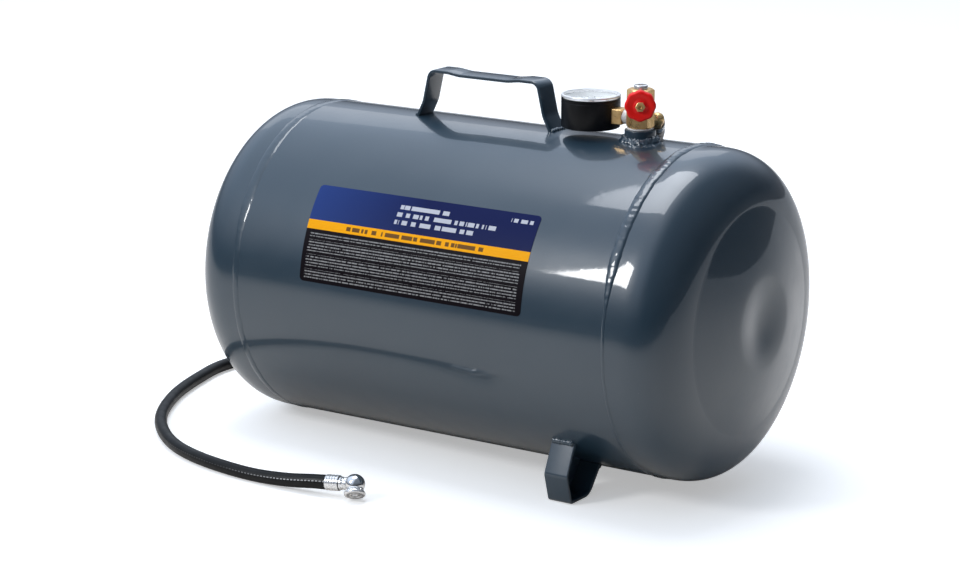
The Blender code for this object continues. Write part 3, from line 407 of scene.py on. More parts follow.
def label_look():
    """A blue band, a yellow band and a black field, with plain dashes where print would be.

    U runs along the label and V down it, both 0 to 1.
    """
    blue_end = 0.375
    yellow_end = 0.470
    headings = (
        ((0.39, 0.61), (0.095, 0.140), 60),
        ((0.385, 0.84), (0.175, 0.220), 60),
        ((0.38, 0.74), (0.255, 0.300), 60),
        ((0.88, 0.975), (0.065, 0.105), 90),
    )
    look = Look("label_film_look")
    u, v = look.uv_axes()
    blue = look.mix(look.spread(u, 0, 1, 0.0, 0.5), (0.022, 0.050, 0.200), (0.008, 0.014, 0.075))
    colour = look.mix(look.math("GREATER_THAN", v, blue_end), blue, (1.0, 0.42, 0.003))
    for across, down, fineness in headings:
        row = dashes(look, u, v, across, down, fineness)
        colour = look.mix(look.math("MULTIPLY", row, 0.75), colour, (0.70, 0.72, 0.78))
    ink = dashes(look, u, v, (0.18, 0.80), (0.402, 0.444), 50)
    colour = look.mix(look.math("MULTIPLY", ink, 0.85), colour, (0.03, 0.02, 0.02))
    colour = look.mix(look.math("GREATER_THAN", v, yellow_end), colour, (0.006, 0.004, 0.006))
    colour = look.mix(look.math("MULTIPLY", fine_rows(look, u, v), 0.62), colour, (0.50, 0.50, 0.50))
    return look.surface(
        Base_Color=colour,
        Roughness=look.spread(look.noise(60, 3), 0.38, 0.46),
        Specular_IOR_Level=0.07,
        Normal=look.bump(look.noise(300, 2), 0.00001),
    )


LOOKS = {
    "slate_paint": paint_look(),
    "brass": brass_look(),
    "plated_steel": plated_look(),
    "black_rubber": rubber_look(),
    "black_enamel": enamel_look(),
    "red_plastic": red_look(),
    "dial_white": dial_look(),
    "clear_lens": lens_look(),
    "sealing_tape": tape_look(),
    "label_film": label_look(),
}
HOSE_LOOK = hose_look()
BEZEL_LOOK = plated_look("bezel_look", 0.5, 0.28, 0.40)
CHROME_LOOK = plated_look("chrome_look", 1.0, 0.03, 0.08)


# ---------------- shapes, as (points, faces) in mm

def rounded(corners, radii, steps=10):
    """The line through corners, each inner corner rounded to its radius."""
    path = [Vector(corners[0])]
    for before, corner, after, radius in zip(corners, corners[1:], corners[2:], radii):
        corner = Vector(corner)
        arriving = (Vector(before) - corner).normalized()
        leaving = (Vector(after) - corner).normalized()
        half = arriving.angle(leaving) / 2
        bisector = (arriving + leaving).normalized()
        centre = corner + bisector * radius / math.sin(half)
        first = corner + arriving * radius / math.tan(half) - centre
        last = corner + leaving * radius / math.tan(half) - centre
        sweep = first.angle_signed(last)
        path += [centre + first @ Matrix.Rotation(sweep * i / steps, 2) for i in range(steps + 1)]
    return path + [Vector(corners[-1])]


def softened(corners, radius, steps=3):
    """A closed outline whose corners are all rounded to one radius."""
    ring = [corners[-1], *corners, corners[0]]
    return rounded(ring, [radius] * len(corners), steps)[1:-1]


def revolve(profile, segments=96, closed=False, shift=None):
    """A profile of (radius, height) turned about Z. shift(angle, radius, height) may move each point."""
    rows = len(profile)
    points = []
    for i in range(segments):
        angle = 2 * math.pi * i / segments
        for radius, height in profile:
            if shift:
                radius, height = shift(angle, radius, height)
            points.append((radius * math.cos(angle), radius * math.sin(angle), height))
    faces = []
    for i in range(segments):
        here, after = i * rows, (i + 1) % segments * rows
        for k in range(rows if closed else rows - 1):
            n = (k + 1) % rows
            faces.append((here + k, after + k, after + n, here + n))
    return points, faces


def loft(sections, cyclic=False):
    """Skins a run of sections, each the same number of points round a closed outline, with flat ends."""
    count = len(sections[0])
    points = [point for section in sections for point in section]
    faces = []
    for i in range(len(sections) if cyclic else len(sections) - 1):
        here, after = i * count, (i + 1) % len(sections) * count
        for k in range(count):
            n = (k + 1) % count
            faces.append((here + k, here + n, after + n, after + k))
    if not cyclic:
        last = (len(sections) - 1) * count
        faces.append(tuple(range(count))[::-1])
        faces.append(tuple(range(last, last + count)))
    return points, faces


def prism(outline, low, high):
    """A flat outline stood up from low to high along Z."""
    return loft([[(x, y, z) for x, y in outline] for z in (low, high)])


def rod(radius, low, high, segments=48):
    return revolve([(0, low), (radius, low), (radius, high), (0, high)], segments)


def hexagon(flats, low, high, chamfer=0.0):
    """A hexagon with flats across, its flats facing the frame's X."""
    corner = flats / math.sqrt(3)
    turn = math.radians(30)
    levels = [(corner, low), (corner, high)]
    if chamfer:
        levels = [(corner - chamfer, low), (corner, low + chamfer * 0.6),
                  (corner, high - chamfer * 0.6), (corner - chamfer, high)]
    turns = [turn + i * math.pi / 3 for i in range(6)]
    return loft([[(radius * math.cos(a), radius * math.sin(a), z) for a in turns] for radius, z in levels])


def directions(path):
    """The unit direction of a line at each of its points."""
    last = len(path) - 1
    return [(path[min(i + 1, last)] - path[max(i - 1, 0)]).normalized() for i in range(last + 1)]


def tube(path, radii, count):
    """A round bar along a line of points, with a radius for each point."""
    headings = directions(path)
    side = headings[0].orthogonal().normalized()
    turns = [2 * math.pi * k / count for k in range(count)]
    sections = []
    for point, radius, heading in zip(path, radii, headings):
        side = (side - heading * side.dot(heading)).normalized()
        up = heading.cross(side)
        sections.append([point + radius * (math.cos(a) * side + math.sin(a) * up) for a in turns])
    return loft(sections)


def strap(path, across):
    """The flat bar swept along a 2-D path. across(point, side) makes a path point and a side step 3-D."""
    path = [Vector(p) for p in path]
    wide = STRAP_WIDTH / 2
    half = STRAP_THICKNESS / 2
    outline = softened([(-wide, -half), (wide, -half), (wide, half), (-wide, half)], 0.9, 4)
    sections = []
    for point, heading in zip(path, directions(path)):
        normal = Vector((-heading.y, heading.x))
        sections.append([across(point + normal * up, side) for side, up in outline])
    return loft(sections)


def weld_bead(path, radius, seed, lump=0.16):
    """A bead along path with the ripples and lumps of weld metal."""
    pitch = 4.0
    path = [Vector(p) for p in path]
    radii = []
    travelled = 0.0
    for i, point in enumerate(path):
        travelled += (point - path[max(i - 1, 0)]).length
        ripple = math.sin(2 * math.pi * travelled / pitch) * 0.35
        lumps = noise.noise(point / 6 + Vector((seed, 0, 0)))
        ends = min(1.0, (min(i, len(path) - 1 - i) + 0.5) / 3)
        radii.append(radius * (1 + lump * (ripple + lumps)) * math.sqrt(ends))
    return tube(path, radii, 16)


def ball(radius):
    steps = 32
    profile = []
    for i in range(steps + 1):
        angle = math.pi * i / steps
        profile.append((radius * math.sin(angle), -radius * math.cos(angle)))
    return revolve(profile, 2 * steps)


def merged(*shapes):
    """Several (points, faces) as one."""
    points, faces = [], []
    for more_points, more_faces in shapes:
        start = len(points)
        points += more_points
        faces += [tuple(start + i for i in face) for face in more_faces]
    return points, faces


# ---------------- pieces

def show(name, data, matrix):
    """A new object in the scene."""
    obj = bpy.data.objects.new(name, data)
    obj.matrix_world = matrix
    SCENE.collection.objects.link(obj)
    return obj


def build(name, shape, look, where=UPRIGHT, sharp=35, edge=0.0):
    """An object from a shape, in its final place, with an optional rounded edge in mm."""
    points, faces = shape
    to_part = PLACE @ where
    mesh = bpy.data.meshes.new(name)
    mesh.from_pydata([to_part @ Vector(p) for p in points], [], faces)
    tidy = bmesh.new()
    tidy.from_mesh(mesh)
    bmesh.ops.remove_doubles(tidy, verts=tidy.verts, dist=1e-7)
    bmesh.ops.recalc_face_normals(tidy, faces=tidy.faces)
    tidy.to_mesh(mesh)
    tidy.free()
    mesh.shade_smooth()
    mesh.set_sharp_from_angle(angle=math.radians(sharp))
    mesh.materials.append(look)
    obj = show(name, mesh, UPRIGHT)
    if edge:
        soften(obj, edge)
    return obj


def soften(obj, width):
    bevel = obj.modifiers.new("edge", "BEVEL")
    bevel.width = width / 1000
    bevel.segments = 2
    bevel.limit_method = "ANGLE"
    bevel.angle_limit = math.radians(40)
    bevel.harden_normals = True


def extra(name, shape, slot, body, where=UPRIGHT, look=None, **finish):
    """A detail that rides on a body and that no CAD node holds. finish is build's sharp and edge."""
    obj = build(name, shape, look or LOOKS[slot], where, **finish)
    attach(obj, body)
    return obj


def stand_for(node, shape, slot, where=UPRIGHT, **finish):
    """A detailed piece in place of a CAD node, riding on that node's body."""
    obj = extra(f"{node}_look", shape, slot, BODY_OF[node], where, **finish)
    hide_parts(node)
    return obj


def carve(obj, name, shape, where, operation="DIFFERENCE"):
    """Cuts a shape out of an object and leaves only the result."""
    tool = build(name, shape, obj.data.materials[0], where)
    cut = obj.modifiers.new(name, "BOOLEAN")
    cut.operation = operation
    cut.object = tool
    cut.solver = "EXACT"
    bpy.context.view_layer.update()
    graph = bpy.context.evaluated_depsgraph_get()
    result = bpy.data.meshes.new_from_object(obj.evaluated_get(graph))
    obj.modifiers.clear()
    obj.data = result
    bpy.data.objects.remove(tool)
    result.shade_smooth()
    result.set_sharp_from_angle(angle=math.radians(30))


# ---------------- vessel

def head_profile():
    """The head's outer surface as (radius, height from the tank's middle), from its centre to its flange."""
    knuckle_base = SEAM_X + HEAD_STRAIGHT

    def knuckle(angle):
        radius = RADIUS - KNUCKLE_DEPTH + KNUCKLE_DEPTH * math.cos(angle) ** (2 / KNUCKLE_POWER)
        return radius, knuckle_base + KNUCKLE_HEIGHT * math.sin(angle) ** (2 / KNUCKLE_POWER)

    ring_radius, ring_height = knuckle(RING_ANGLE)
    rim_height = ring_height + CROWN_HEIGHT
    points = []
    steps = 18
    for i in range(steps):
        share = i / steps
        drop = DIMPLE_DEPTH * (1 + math.cos(math.pi * share)) / 2
        points.append((DIMPLE_RADIUS * share, rim_height - drop))
    for i in range(steps):
        share = i / steps
        radius = DIMPLE_RADIUS + (ring_radius - DIMPLE_RADIUS) * share
        points.append((radius, rim_height - CROWN_HEIGHT * share ** CROWN_POWER))
    knuckle_steps = 44
    for i in range(knuckle_steps):
        share = 1 - i / knuckle_steps
        points.append(knuckle(RING_ANGLE * (1 - (1 - share) ** 1.6)))
    points += [(RADIUS, knuckle_base), (RADIUS, knuckle_base - 5), (RADIUS, SEAM_X + 0.2)]
    return points


def build_vessel():
    inner = RADIUS - WALL
    wall = [(RADIUS, z) for z in (-SHELL_END, -SHELL_END / 2, 0, SHELL_END / 2, SHELL_END)]
    wall += [(inner, SHELL_END), (inner, -SHELL_END)]
    stand_for("tank_shell", revolve(wall, 256, closed=True), "slate_paint", RIGHT_END, sharp=30)
    outer = head_profile()
    inside = [(radius - HEAD_WALL * (radius > 5), height - HEAD_WALL) for radius, height in outer[:-1]]
    flange = RADIUS - 2.3
    flange_end = SEAM_X - 12
    head = outer + [(flange, SEAM_X), (flange, flange_end), (RADIUS - 4.4, flange_end)] + inside[::-1]
    for name, where in (("head_right", RIGHT_END), ("head_left", LEFT_END)):
        stand_for(name, revolve(head, 256), "slate_paint", where, sharp=50)
    build_seam_bead("seam_weld_right", RIGHT_END, 3.0, 1, 1.6, 0.28)
    build_seam_bead("seam_weld_left", LEFT_END, 8.0, -1, 0.7, 0.6)


def build_seam_bead(name, where, seed, front, height, thinnest):
    """The bead round a seam: full and lumpy over the top, thinner low on the label side.

    front is the sign of the turn from the top to the label side, and thinnest the least share of the
    full size.
    """
    half_width = 5.4
    full_height = 1.6
    segments = 720
    rough = height / full_height
    profile = []
    steps = 14
    for i in range(steps + 1):
        share = 2 * i / steps - 1
        profile.append((share, 1 - abs(share) ** 3))
    profile += [(0.9, -0.5), (-0.9, -0.5)]
    points, faces = revolve(profile, segments, closed=True)
    moved = []
    for i in range(len(points)):
        angle = 2 * math.pi * (i // len(profile)) / segments
        share, rise = profile[i % len(profile)]
        travelled = angle * RADIUS
        here = Vector((math.cos(angle) * 24, math.sin(angle) * 24, seed))
        from_top = math.degrees(math.atan2(front * math.sin(angle), math.cos(angle)))
        fullness = max(thinnest, 1 - max(0.0, from_top - 62) / 22, (from_top - 150) / 20)
        lump = 1 + 0.30 * noise.noise(here) + 0.16 * rough * noise.noise(here * 2.6)
        ripple = 0.05 * rough * math.sin(travelled / 0.9 + 2.2 * share * share)
        ripple += 0.22 * rough * max(0.0, noise.noise(Vector((travelled / 2.2, share * 2.4, seed))))
        weave = 0.35 * noise.noise(here * 0.6 + Vector((9, 0, 0)))
        radius = RADIUS + rise * height * fullness * (lump + (ripple if rise > 0 else 0))
        along = SEAM_X + share * half_width * fullness * (1 + 0.15 * noise.noise(here * 0.8)) + weave
        moved.append((radius * math.cos(angle), radius * math.sin(angle), along))
    stand_for(name, (moved, faces), "slate_paint", where, sharp=60)


def across_tank(point, side):
    return (point[0], side, point[1])


def along_tank(point, side):
    return (side, point[0], point[1])


def build_handle():
    half = [(77, 146), (67, 166), (60, 196.4), (40, 196.4), (27, 194.7)]
    radii = [25, 8, 30, 30]
    corners = half + [(-x, z) for x, z in half[::-1]]
    path = rounded(corners, radii + radii[::-1], 10)
    where = Matrix.Translation((HANDLE_X, 0, 0))
    stand_for("carry_handle", strap(path, across_tank), "slate_paint", where)
    for name, side in (("handle_weld_left", -1), ("handle_weld_right", 1)):
        x = HANDLE_X + side * 75.6
        line = [(x, y * 0.5, math.sqrt(RADIUS ** 2 - (y * 0.5) ** 2) + 0.2) for y in range(-22, 23)]
        stand_for(name, weld_bead(line, 2.2, side * 4.0, lump=0.3), "slate_paint", sharp=60)


def build_feet():
    where = Matrix.Translation((FOOT_X, 0, 0))
    pad = FOOT_BOTTOM + STRAP_THICKNESS / 2
    corners = [(-106.5, -102), (-121.8, -135.5), (-114.6, pad), (-84, pad), (-64.5, -136)]
    for name, side in (("front", 1), ("rear", -1)):
        path = [Vector((side * y, z)) for y, z in rounded(corners, (6, 3, 15), 10)]
        foot = strap(path, along_tank)
        low = 0.6 - STRAP_WIDTH / 2
        web = loft([[(x, y, z) for y, z in path] for x in (low, low + 2.4)])
        stand_for(f"foot_{name}", merged(foot, web), "slate_paint", where)
        for place, y, z in (("outer", -110.4, -106.2), ("inner", -63.6, -139.2)):
            line = [(x * 0.5, side * y, z) for x in range(-23, 24)]
            node = f"foot_{name}_weld_{place}"
            stand_for(node, weld_bead(line, 2.9, y + side), "slate_paint", where, sharp=60)


def build_neck():
    profile = softened([(10.9, 146), (NECK_RADIUS, 146), (NECK_RADIUS, NECK_TOP), (10.9, NECK_TOP)], 0.5)
    stand_for("neck_bung", revolve(profile, 96, closed=True), "slate_paint", MANIFOLD)
    outline = ((-0.8, 4.6), (0.3, 4.5), (1.4, 4.2), (2.5, 3.5), (3.4, 2.4), (4.2, 1.1), (4.8, -0.6),
               (3.0, -2.0), (-0.8, -2.0))
    sections = []
    count = 180
    for i in range(count):
        angle = 2 * math.pi * i / count
        out = Vector((math.cos(angle), math.sin(angle), 0))
        lump = 1 + 0.30 * noise.noise(out * 3.4) + 0.16 * noise.noise(out * 9 + Vector((5, 0, 0)))
        section = []
        for reach, rise in outline:
            blob = lump * (1 + 0.34 * noise.noise(Vector((out.x * 7, out.y * 7, reach * 1.1))))
            radius = NECK_RADIUS + (reach * blob if reach > 0 else reach)
            across = radius * out.y
            seat = math.sqrt(RADIUS ** 2 - across ** 2)
            section.append((radius * out.x, across, seat + (rise * blob if rise > 0 else rise)))
        sections.append(section)
    stand_for("neck_weld", loft(sections, cyclic=True), "slate_paint", MANIFOLD, sharp=70)


# ---------------- manifold and valves

def build_manifold():
    block = hexagon(MANIFOLD_FLATS, MANIFOLD_BASE, MANIFOLD_TOP)
    body = stand_for("manifold_body", block, "brass", MANIFOLD)
    corner = MANIFOLD_FLATS / math.sqrt(3)
    turned = [(0, MANIFOLD_TOP), (corner - 1.8, MANIFOLD_TOP), (corner + 0.1, MANIFOLD_TOP - 1.3),
              (corner + 0.1, MANIFOLD_BASE + 1.3), (corner - 1.8, MANIFOLD_BASE), (0, MANIFOLD_BASE)]
    carve(body, "barrel", revolve(turned, 128), MANIFOLD, "INTERSECT")
    soften(body, 0.35)
    wraps = [(10.2, 164.3), (12.0, 164.2), (12.3, 163.9), (11.9, 163.6), (12.2, 163.2), (12.0, 162.9),
             (10.6, 162.8), (10.6, 150), (10.2, 150)]
    stand_for("manifold_thread_tape", revolve(wraps, 96, closed=True), "sealing_tape", MANIFOLD)
    top = MANIFOLD_TOP + 3.5
    plug = [(0, top), (5.5, top), (6.1, top - 0.25), (6.4, top - 0.8), (6.4, MANIFOLD_TOP + 0.3),
            (4.4, MANIFOLD_TOP + 0.3), (4.4, 192), (0, 192)]
    made = stand_for("top_plug", revolve(plug, 64), "plated_steel", MANIFOLD)
    carve(made, "plug_socket", hexagon(5, top - 3.8, top + 1), MANIFOLD)


def build_shutoff_valve():
    bonnet = merged(hexagon(11, 11.3, 18.9, 0.8), rod(4.2, 8.5, 12))
    stand_for("valve_bonnet", bonnet, "brass", VALVE, edge=0.2)
    spindle = [(0, 6.3), (1.7, 6.3), (1.9, 6.5), (1.9, 33.0), (1.6, 33.2), (1.2, 33.0), (1.1, 30.5),
               (0, 30.5)]
    stand_for("valve_spindle", revolve(spindle, 48), "brass", VALVE)
    nut = stand_for("knob_nut", hexagon(8, 31.8, 34.8, 0.5), "brass", VALVE, edge=0.15)
    carve(nut, "nut_bore", rod(2.2, 31, 36), VALVE)
    build_knob()


def build_knob():
    """Eight soft lobes, a rounded rim and a shallow dished face."""
    back, front = 22.5, 31.5
    rows = [(2.3, back), (9.5, back), (12.6, back + 0.1), (13.6, back + 0.6), (14.1, back + 1.5),
            (14.2, back + 2.6), (14.2, front - 2.6), (14.1, front - 1.5), (13.6, front - 0.6),
            (12.6, front - 0.1), (11.4, front), (9.6, front - 0.5), (7.6, front - 0.8), (6.2, front - 0.8),
            (5.6, front - 0.3), (5.0, front), (2.3, front)]

    def lobes(angle, radius, height):
        dip = 0.8 * (1 - math.cos(8 * angle)) / 2
        return radius - dip * max(0.0, radius - 5) / 9.2, height

    stand_for("valve_knob", revolve(rows, 192, closed=True, shift=lobes), "red_plastic", VALVE, sharp=55)


def build_relief_valve():
    body = [(4.8, 30), (5.0, 29.5), (5.0, 26.5), (4.7, 26.2), (4.7, 25.6), (5.0, 25.3), (5.0, 11.8),
            (3.6, 11.3), (3.6, 8.5), (1.8, 8.5), (1.8, 17), (3.6, 17), (3.6, 30)]
    stand_for("relief_valve_body", revolve(body, 64, closed=True), "brass", RELIEF)
    collar = extra("relief_hexagon", hexagon(11, 11.4, 17, 0.7), "brass", "tank", RELIEF, edge=0.15)
    carve(collar, "collar_bore", rod(4.9, 10, 18), RELIEF)


def build_fill_valve():
    body = [(3.85, 33), (3.85, 14), (3.3, 14), (3.3, 8.5), (1.2, 8.5), (1.2, 19), (2.0, 19), (2.0, 33)]
    stand_for("fill_valve_body", revolve(body, 64, closed=True), "brass", FILL)
    collar = extra("fill_hexagon", hexagon(11, 11.4, 16.5, 0.7), "brass", "tank", FILL, edge=0.15)
    carve(collar, "fill_collar_bore", rod(3.75, 10, 18), FILL)

    def ribs(angle, radius, height):
        return radius - (0.25 * abs(math.sin(12 * angle)) if radius > 4.5 and height < 34 else 0), height

    cap = [(0, 35.4), (3.6, 35.4), (4.3, 35.1), (4.7, 34.5), (4.9, 33.8), (4.9, 24.3), (4.75, 24), (4.15, 24),
           (4.15, 34), (0, 34)]
    stand_for("fill_valve_cap", revolve(cap, 192, shift=ribs), "black_enamel", FILL, sharp=50)


# ---------------- gauge

def build_gauge():
    case = [(0, -12), (25.8, -12), (25.8, 14.3), (27.2, 14.3), (27.2, 11.8), (27.0, 11.5), (27.0, 11.0),
            (27.2, 10.7), (27.2, -11.6), (26.8, -12.5), (25.8, -13.1), (25.0, -13.2), (0, -13.2)]
    made = stand_for("gauge_case", revolve(case, 160), "black_enamel", GAUGE, sharp=40)
    half = 7.3
    opening = [(22, -half), (30, -half), (30, half), (22, half)]
    carve(made, "socket_opening", prism(opening, -half, half), GAUGE)
    lens = [(0, 16.9), (8, 16.87), (14, 16.8), (20, 16.5), (23.4, 16.2), (24.1, 15.9), (24.3, 15.4),
            (26.6, 15.3), (26.6, 14.7), (0, 14.7)]
    stand_for("gauge_lens", revolve(lens, 128), "clear_lens", GAUGE, sharp=40)
    bezel = [(25.0, 17.4), (26.5, 17.4), (27.0, 17.2), (27.3, 16.7), (27.3, 15.6), (24.7, 15.6), (24.7, 17.0)]
    stand_for("gauge_bezel", revolve(bezel, 160, closed=True), "plated_steel", GAUGE, look=BEZEL_LOOK)
    # The dial and its wall use the dial material, which glows a little as painted light
    dial = softened([(1.6, 10), (25.3, 10), (25.3, 10.6), (1.6, 10.6)], 0.1)
    stand_for("gauge_dial", revolve(dial, 160, closed=True), "dial_white", GAUGE)
    wall = softened([(24.4, 10.6), (25.2, 10.6), (25.2, 14.6), (24.4, 14.6)], 0.1)
    extra("dial_wall", revolve(wall, 160, closed=True), "dial_white", "tank", GAUGE)
    build_dial_marks()
    build_pointer()
    build_socket()


def dial_angle(share):
    """The scale runs clockwise from the pointer's zero."""
    return POINTER_ZERO - POINTER_SWEEP * share


def build_dial_marks():
    """A generic scale: ticks, a thin arc and plain numbers."""
    shapes = []
    low, high = 10.55, 10.72
    edge = 22.0
    numbers = 8
    total = 2 * numbers
    for i in range(total + 1):
        numbered = i % 2 == 0
        inner = 18.4 if numbered else 20.0
        half = 0.22 if numbered else 0.12
        turn = Matrix.Rotation(dial_angle(i / total), 4, "Z")
        points, faces = prism([(inner, -half), (edge, -half), (edge, half), (inner, half)], low, high)
        shapes.append(([turn @ Vector(p) for p in points], faces))
    outline = ((edge, low), (edge + 0.2, low), (edge + 0.2, high), (edge, high))
    arc = [dial_angle(i / 120) for i in range(121)]
    shapes.append(loft([[(r * math.cos(a), r * math.sin(a), z) for r, z in outline] for a in arc]))
    extra("dial_marks", merged(*shapes), "black_enamel", "tank", GAUGE)
    for i in range(numbers + 1):
        write_number(str(20 * i), dial_angle(i / numbers))


def write_number(words, angle):
    """A plain number on the dial, upright for a reader on the label side."""
    reach = 14.8
    font = bpy.data.curves.new(f"dial_number_{words}", "FONT")
    font.body = words
    font.size = 0.0032
    font.extrude = 0.00006
    font.align_x = "CENTER"
    font.align_y = "CENTER"
    font.materials.append(LOOKS["black_enamel"])
    spot = GAUGE @ Vector((reach * math.cos(angle), reach * math.sin(angle), 10.66))
    obj = show(font.name, font, Matrix.Translation(PLACE @ spot))
    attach(obj, "tank")


def build_pointer():
    where = GAUGE @ Matrix.Rotation(POINTER_ZERO, 4, "Z")
    needle = [(-7, -1.1), (-3, -0.7), (0, -1.2), (19.5, -0.2), (19.5, 0.2), (0, 1.2), (-3, 0.7), (-7, 1.1)]
    hub = revolve([(0.95, 11.4), (2.3, 11.4), (2.3, 12.6), (2.0, 12.9), (0.95, 12.9)], 48, closed=True)
    stand_for("gauge_pointer", prism(needle, 11.7, 12.2), "black_enamel", where, edge=0.1)
    extra("pointer_hub", hub, "black_enamel", BODY_OF["gauge_pointer"], where)


def build_socket():
    body = [(-7, -7), (7, -7), (7, 7), (-7, 7)]
    shape = merged(prism(softened(body, 0.8), 24, 36.2), rod(5.2, 36, 44.2, 64))
    stand_for("gauge_socket", shape, "brass", SOCKET, edge=0.3)
    wraps = [(5.5, 36.5), (6.5, 36.5), (6.7, 37.2), (6.4, 37.9), (6.7, 38.8), (6.4, 39.6), (6.6, 40.4),
             (6.3, 41.3), (5.5, 41.3)]
    stand_for("gauge_thread_tape", revolve(wraps, 64, closed=True), "sealing_tape", SOCKET)


# ---------------- hose and chuck

def smooth_path(points, spacing):
    """A smooth line through all points, drawn with points about spacing apart."""
    points = [Vector(p) for p in points]
    padded = [2 * points[0] - points[1], *points, 2 * points[-1] - points[-2]]
    path = []
    for a, b, c, d in zip(padded, padded[1:], padded[2:], padded[3:]):
        before, here, after = ((q - p).length for p, q in ((a, b), (b, c), (c, d)))
        leaving = ((b - a) / before * here + (c - b) / here * before) / (before + here)
        arriving = ((c - b) / here * after + (d - c) / after * here) / (here + after)
        steps = max(1, round(here / spacing))
        for i in range(steps):
            t = i / steps
            path.append(b * (1 + 2 * t) * (1 - t) ** 2 + c * t * t * (3 - 2 * t)
                        + leaving * here * t * (1 - t) ** 2 - arriving * here * t * t * (1 - t))
    return path + [points[-1]]


def elbow_leg():
    """The elbow's leg: it leaves the elbow backward and down, over the shell's back."""
    return frame_to(HOSE_PORT @ Vector((0, 0, ELBOW_REACH)), LEG_DIRECTION, (0, 0, 1))


def chuck_along():
    x, y = CHUCK_FERRULE_START
    return frame_to((x, y, ground_z(x) + CHUCK_FERRULE_HEIGHT), CHUCK_DIRECTION, (0, 0, 1))


def hose_points():
    """The hose's centreline: down the shell's back, along the ground, round the plain end to the front."""
    leg = elbow_leg()
    lie = HOSE_RADIUS + 0.3
    hug = RADIUS + HOSE_RADIUS + 2.6
    points = [leg @ Vector((0, 0, z)) for z in (9.8, 14.5, 19)]
    for x, degrees in ((134, 20), (112, 34), (95, 51), (82, 72)):
        turn = math.radians(degrees)
        points.append(Vector((x, hug * math.sin(turn), hug * math.cos(turn))))
    points += [Vector(p) for p in ((75, 162, -20), (71, 165, -80), (62, 170, -120), (38, 178, -144))]
    on_ground = (
        (0, 189), (-50, 198), (-100, 200.5), (-150, 195), (-245, 165), (-315, 115), (-350, 60),
        (-357.15, 14), (-349, -32), (-326, -102), (-280, -174), (-221, -219), (-152, -236.9), (-112, -237.65),
    )
    points += [Vector((x, y, ground_z(x) + lie)) for x, y in on_ground]
    points.append(Vector((-78, -235, ground_z(-78) + 8.6)))
    return points + [chuck_along() @ Vector((0, 0, z)) for z in (-6, 1, 8, 15)]


def build_hose():
    """The hose, slightly fuller where it is pushed over the chuck's barb, with U in mm and V round it."""
    path = smooth_path(hose_points(), 4)
    count = 32
    from_end = [0.0]
    for near, far in zip(path[::-1], path[-2::-1]):
        from_end.append(from_end[-1] + (far - near).length)
    from_end.reverse()
    radii = [HOSE_RADIUS + 0.7 * max(0.0, 1 - distance / 90) for distance in from_end]
    shape = tube(path, radii, count)
    mesh = stand_for("air_hose", shape, "black_rubber", sharp=60, look=HOSE_LOOK).data
    layer = mesh.uv_layers.new(name="UVMap")
    for face in mesh.polygons:
        corners = [(i, mesh.loops[i].vertex_index) for i in face.loop_indices]
        wraps = {vertex % count for _, vertex in corners} == {0, count - 1}
        for loop, vertex in corners:
            around = vertex % count
            turn = 1.0 if wraps and around == 0 else around / count
            layer.data[loop].uv = (from_end[vertex // count], turn)


def barrel(low, high, radius, grooves, wall):
    """A crimped ferrule: a short tube with rolled grooves."""
    depth = 0.45
    profile = [(radius - wall, low), (radius - 0.3, low), (radius, low + 0.4)]
    length = high - low
    for i in range(grooves):
        middle = low + length * (i + 1) / (grooves + 1)
        half = length / (grooves + 1) * 0.26
        profile += [(radius, middle - half), (radius - depth * 0.7, middle - half * 0.6),
                    (radius - depth, middle), (radius - depth * 0.7, middle + half * 0.6),
                    (radius, middle + half)]
    return profile + [(radius, high - 0.4), (radius - 0.3, high), (radius - wall, high)]


def build_elbow():
    leg = elbow_leg()
    stand_for("hose_elbow", ball(6.2), "brass", Matrix.Translation(leg.translation), sharp=60)
    extra("elbow_nipple", rod(2.9, 8.5, ELBOW_REACH), "brass", "tank", HOSE_PORT)
    extra("elbow_hexagon", hexagon(10, 11.4, ELBOW_REACH, 0.5), "brass", "tank", HOSE_PORT, edge=0.15)
    extra("elbow_leg_hexagon", hexagon(11.5, 1, 9, 0.5), "brass", "tank", leg, edge=0.15)
    ferrule = barrel(9.4, 19, HOSE_RADIUS + 1.1, 3, wall=0.9)
    stand_for("hose_ferrule_tank", revolve(ferrule, 64, closed=True), "plated_steel", leg)


def build_chuck():
    along = chuck_along()
    centre = along @ Vector((0, 0, CHUCK_HEAD_DISTANCE))
    mouth = frame_to(centre, MOUTH_DIRECTION, (1, 0, 0))
    ferrule = barrel(4, 17, HOSE_RADIUS + 1.2, 4, wall=0.5)
    stand_for("hose_ferrule_chuck", revolve(ferrule, 96, closed=True), "plated_steel", along)
    head = ball(CHUCK_HEAD_RADIUS)
    stand_for("chuck_body", head, "plated_steel", Matrix.Translation(centre), sharp=60, look=CHROME_LOOK)

    def notches(angle, radius, height):
        return radius - 1.3 * max(0.0, math.cos(14 * angle)) * (5.8 < height < 7.4), height

    collar = [(0, -6), (6, -4), (7.6, 1), (8.0, 4.2), (8.3, 5.4), (8.3, 6.0), (8.3, 6.6), (8.3, 7.2),
              (9.4, 7.8), (9.8, 8.3), (9.8, 10.0), (9.4, 10.6), (8.7, 10.9), (7.2, 10.9), (6.8, 10.6),
              (6.4, 9.2), (5.4, 8.9), (5.2, 4.7), (0, 4.7)]
    extra("chuck_mouth", revolve(collar, 168, shift=notches), "plated_steel", "tank", mouth, sharp=40)
    neck = [(0, 17.3), (5.6, 17.3), (6.2, 17.7), (6.2, 19.4), (5.5, 19.9), (5.1, 20.6), (5.1, 21.4),
            (5.9, 22.0), (6.1, 22.6), (6.1, 23.8), (5.7, 24.6), (5.7, 28), (0, 28)]
    extra("chuck_neck", revolve(neck, 64), "plated_steel", "tank", along, sharp=40)


# ---------------- label

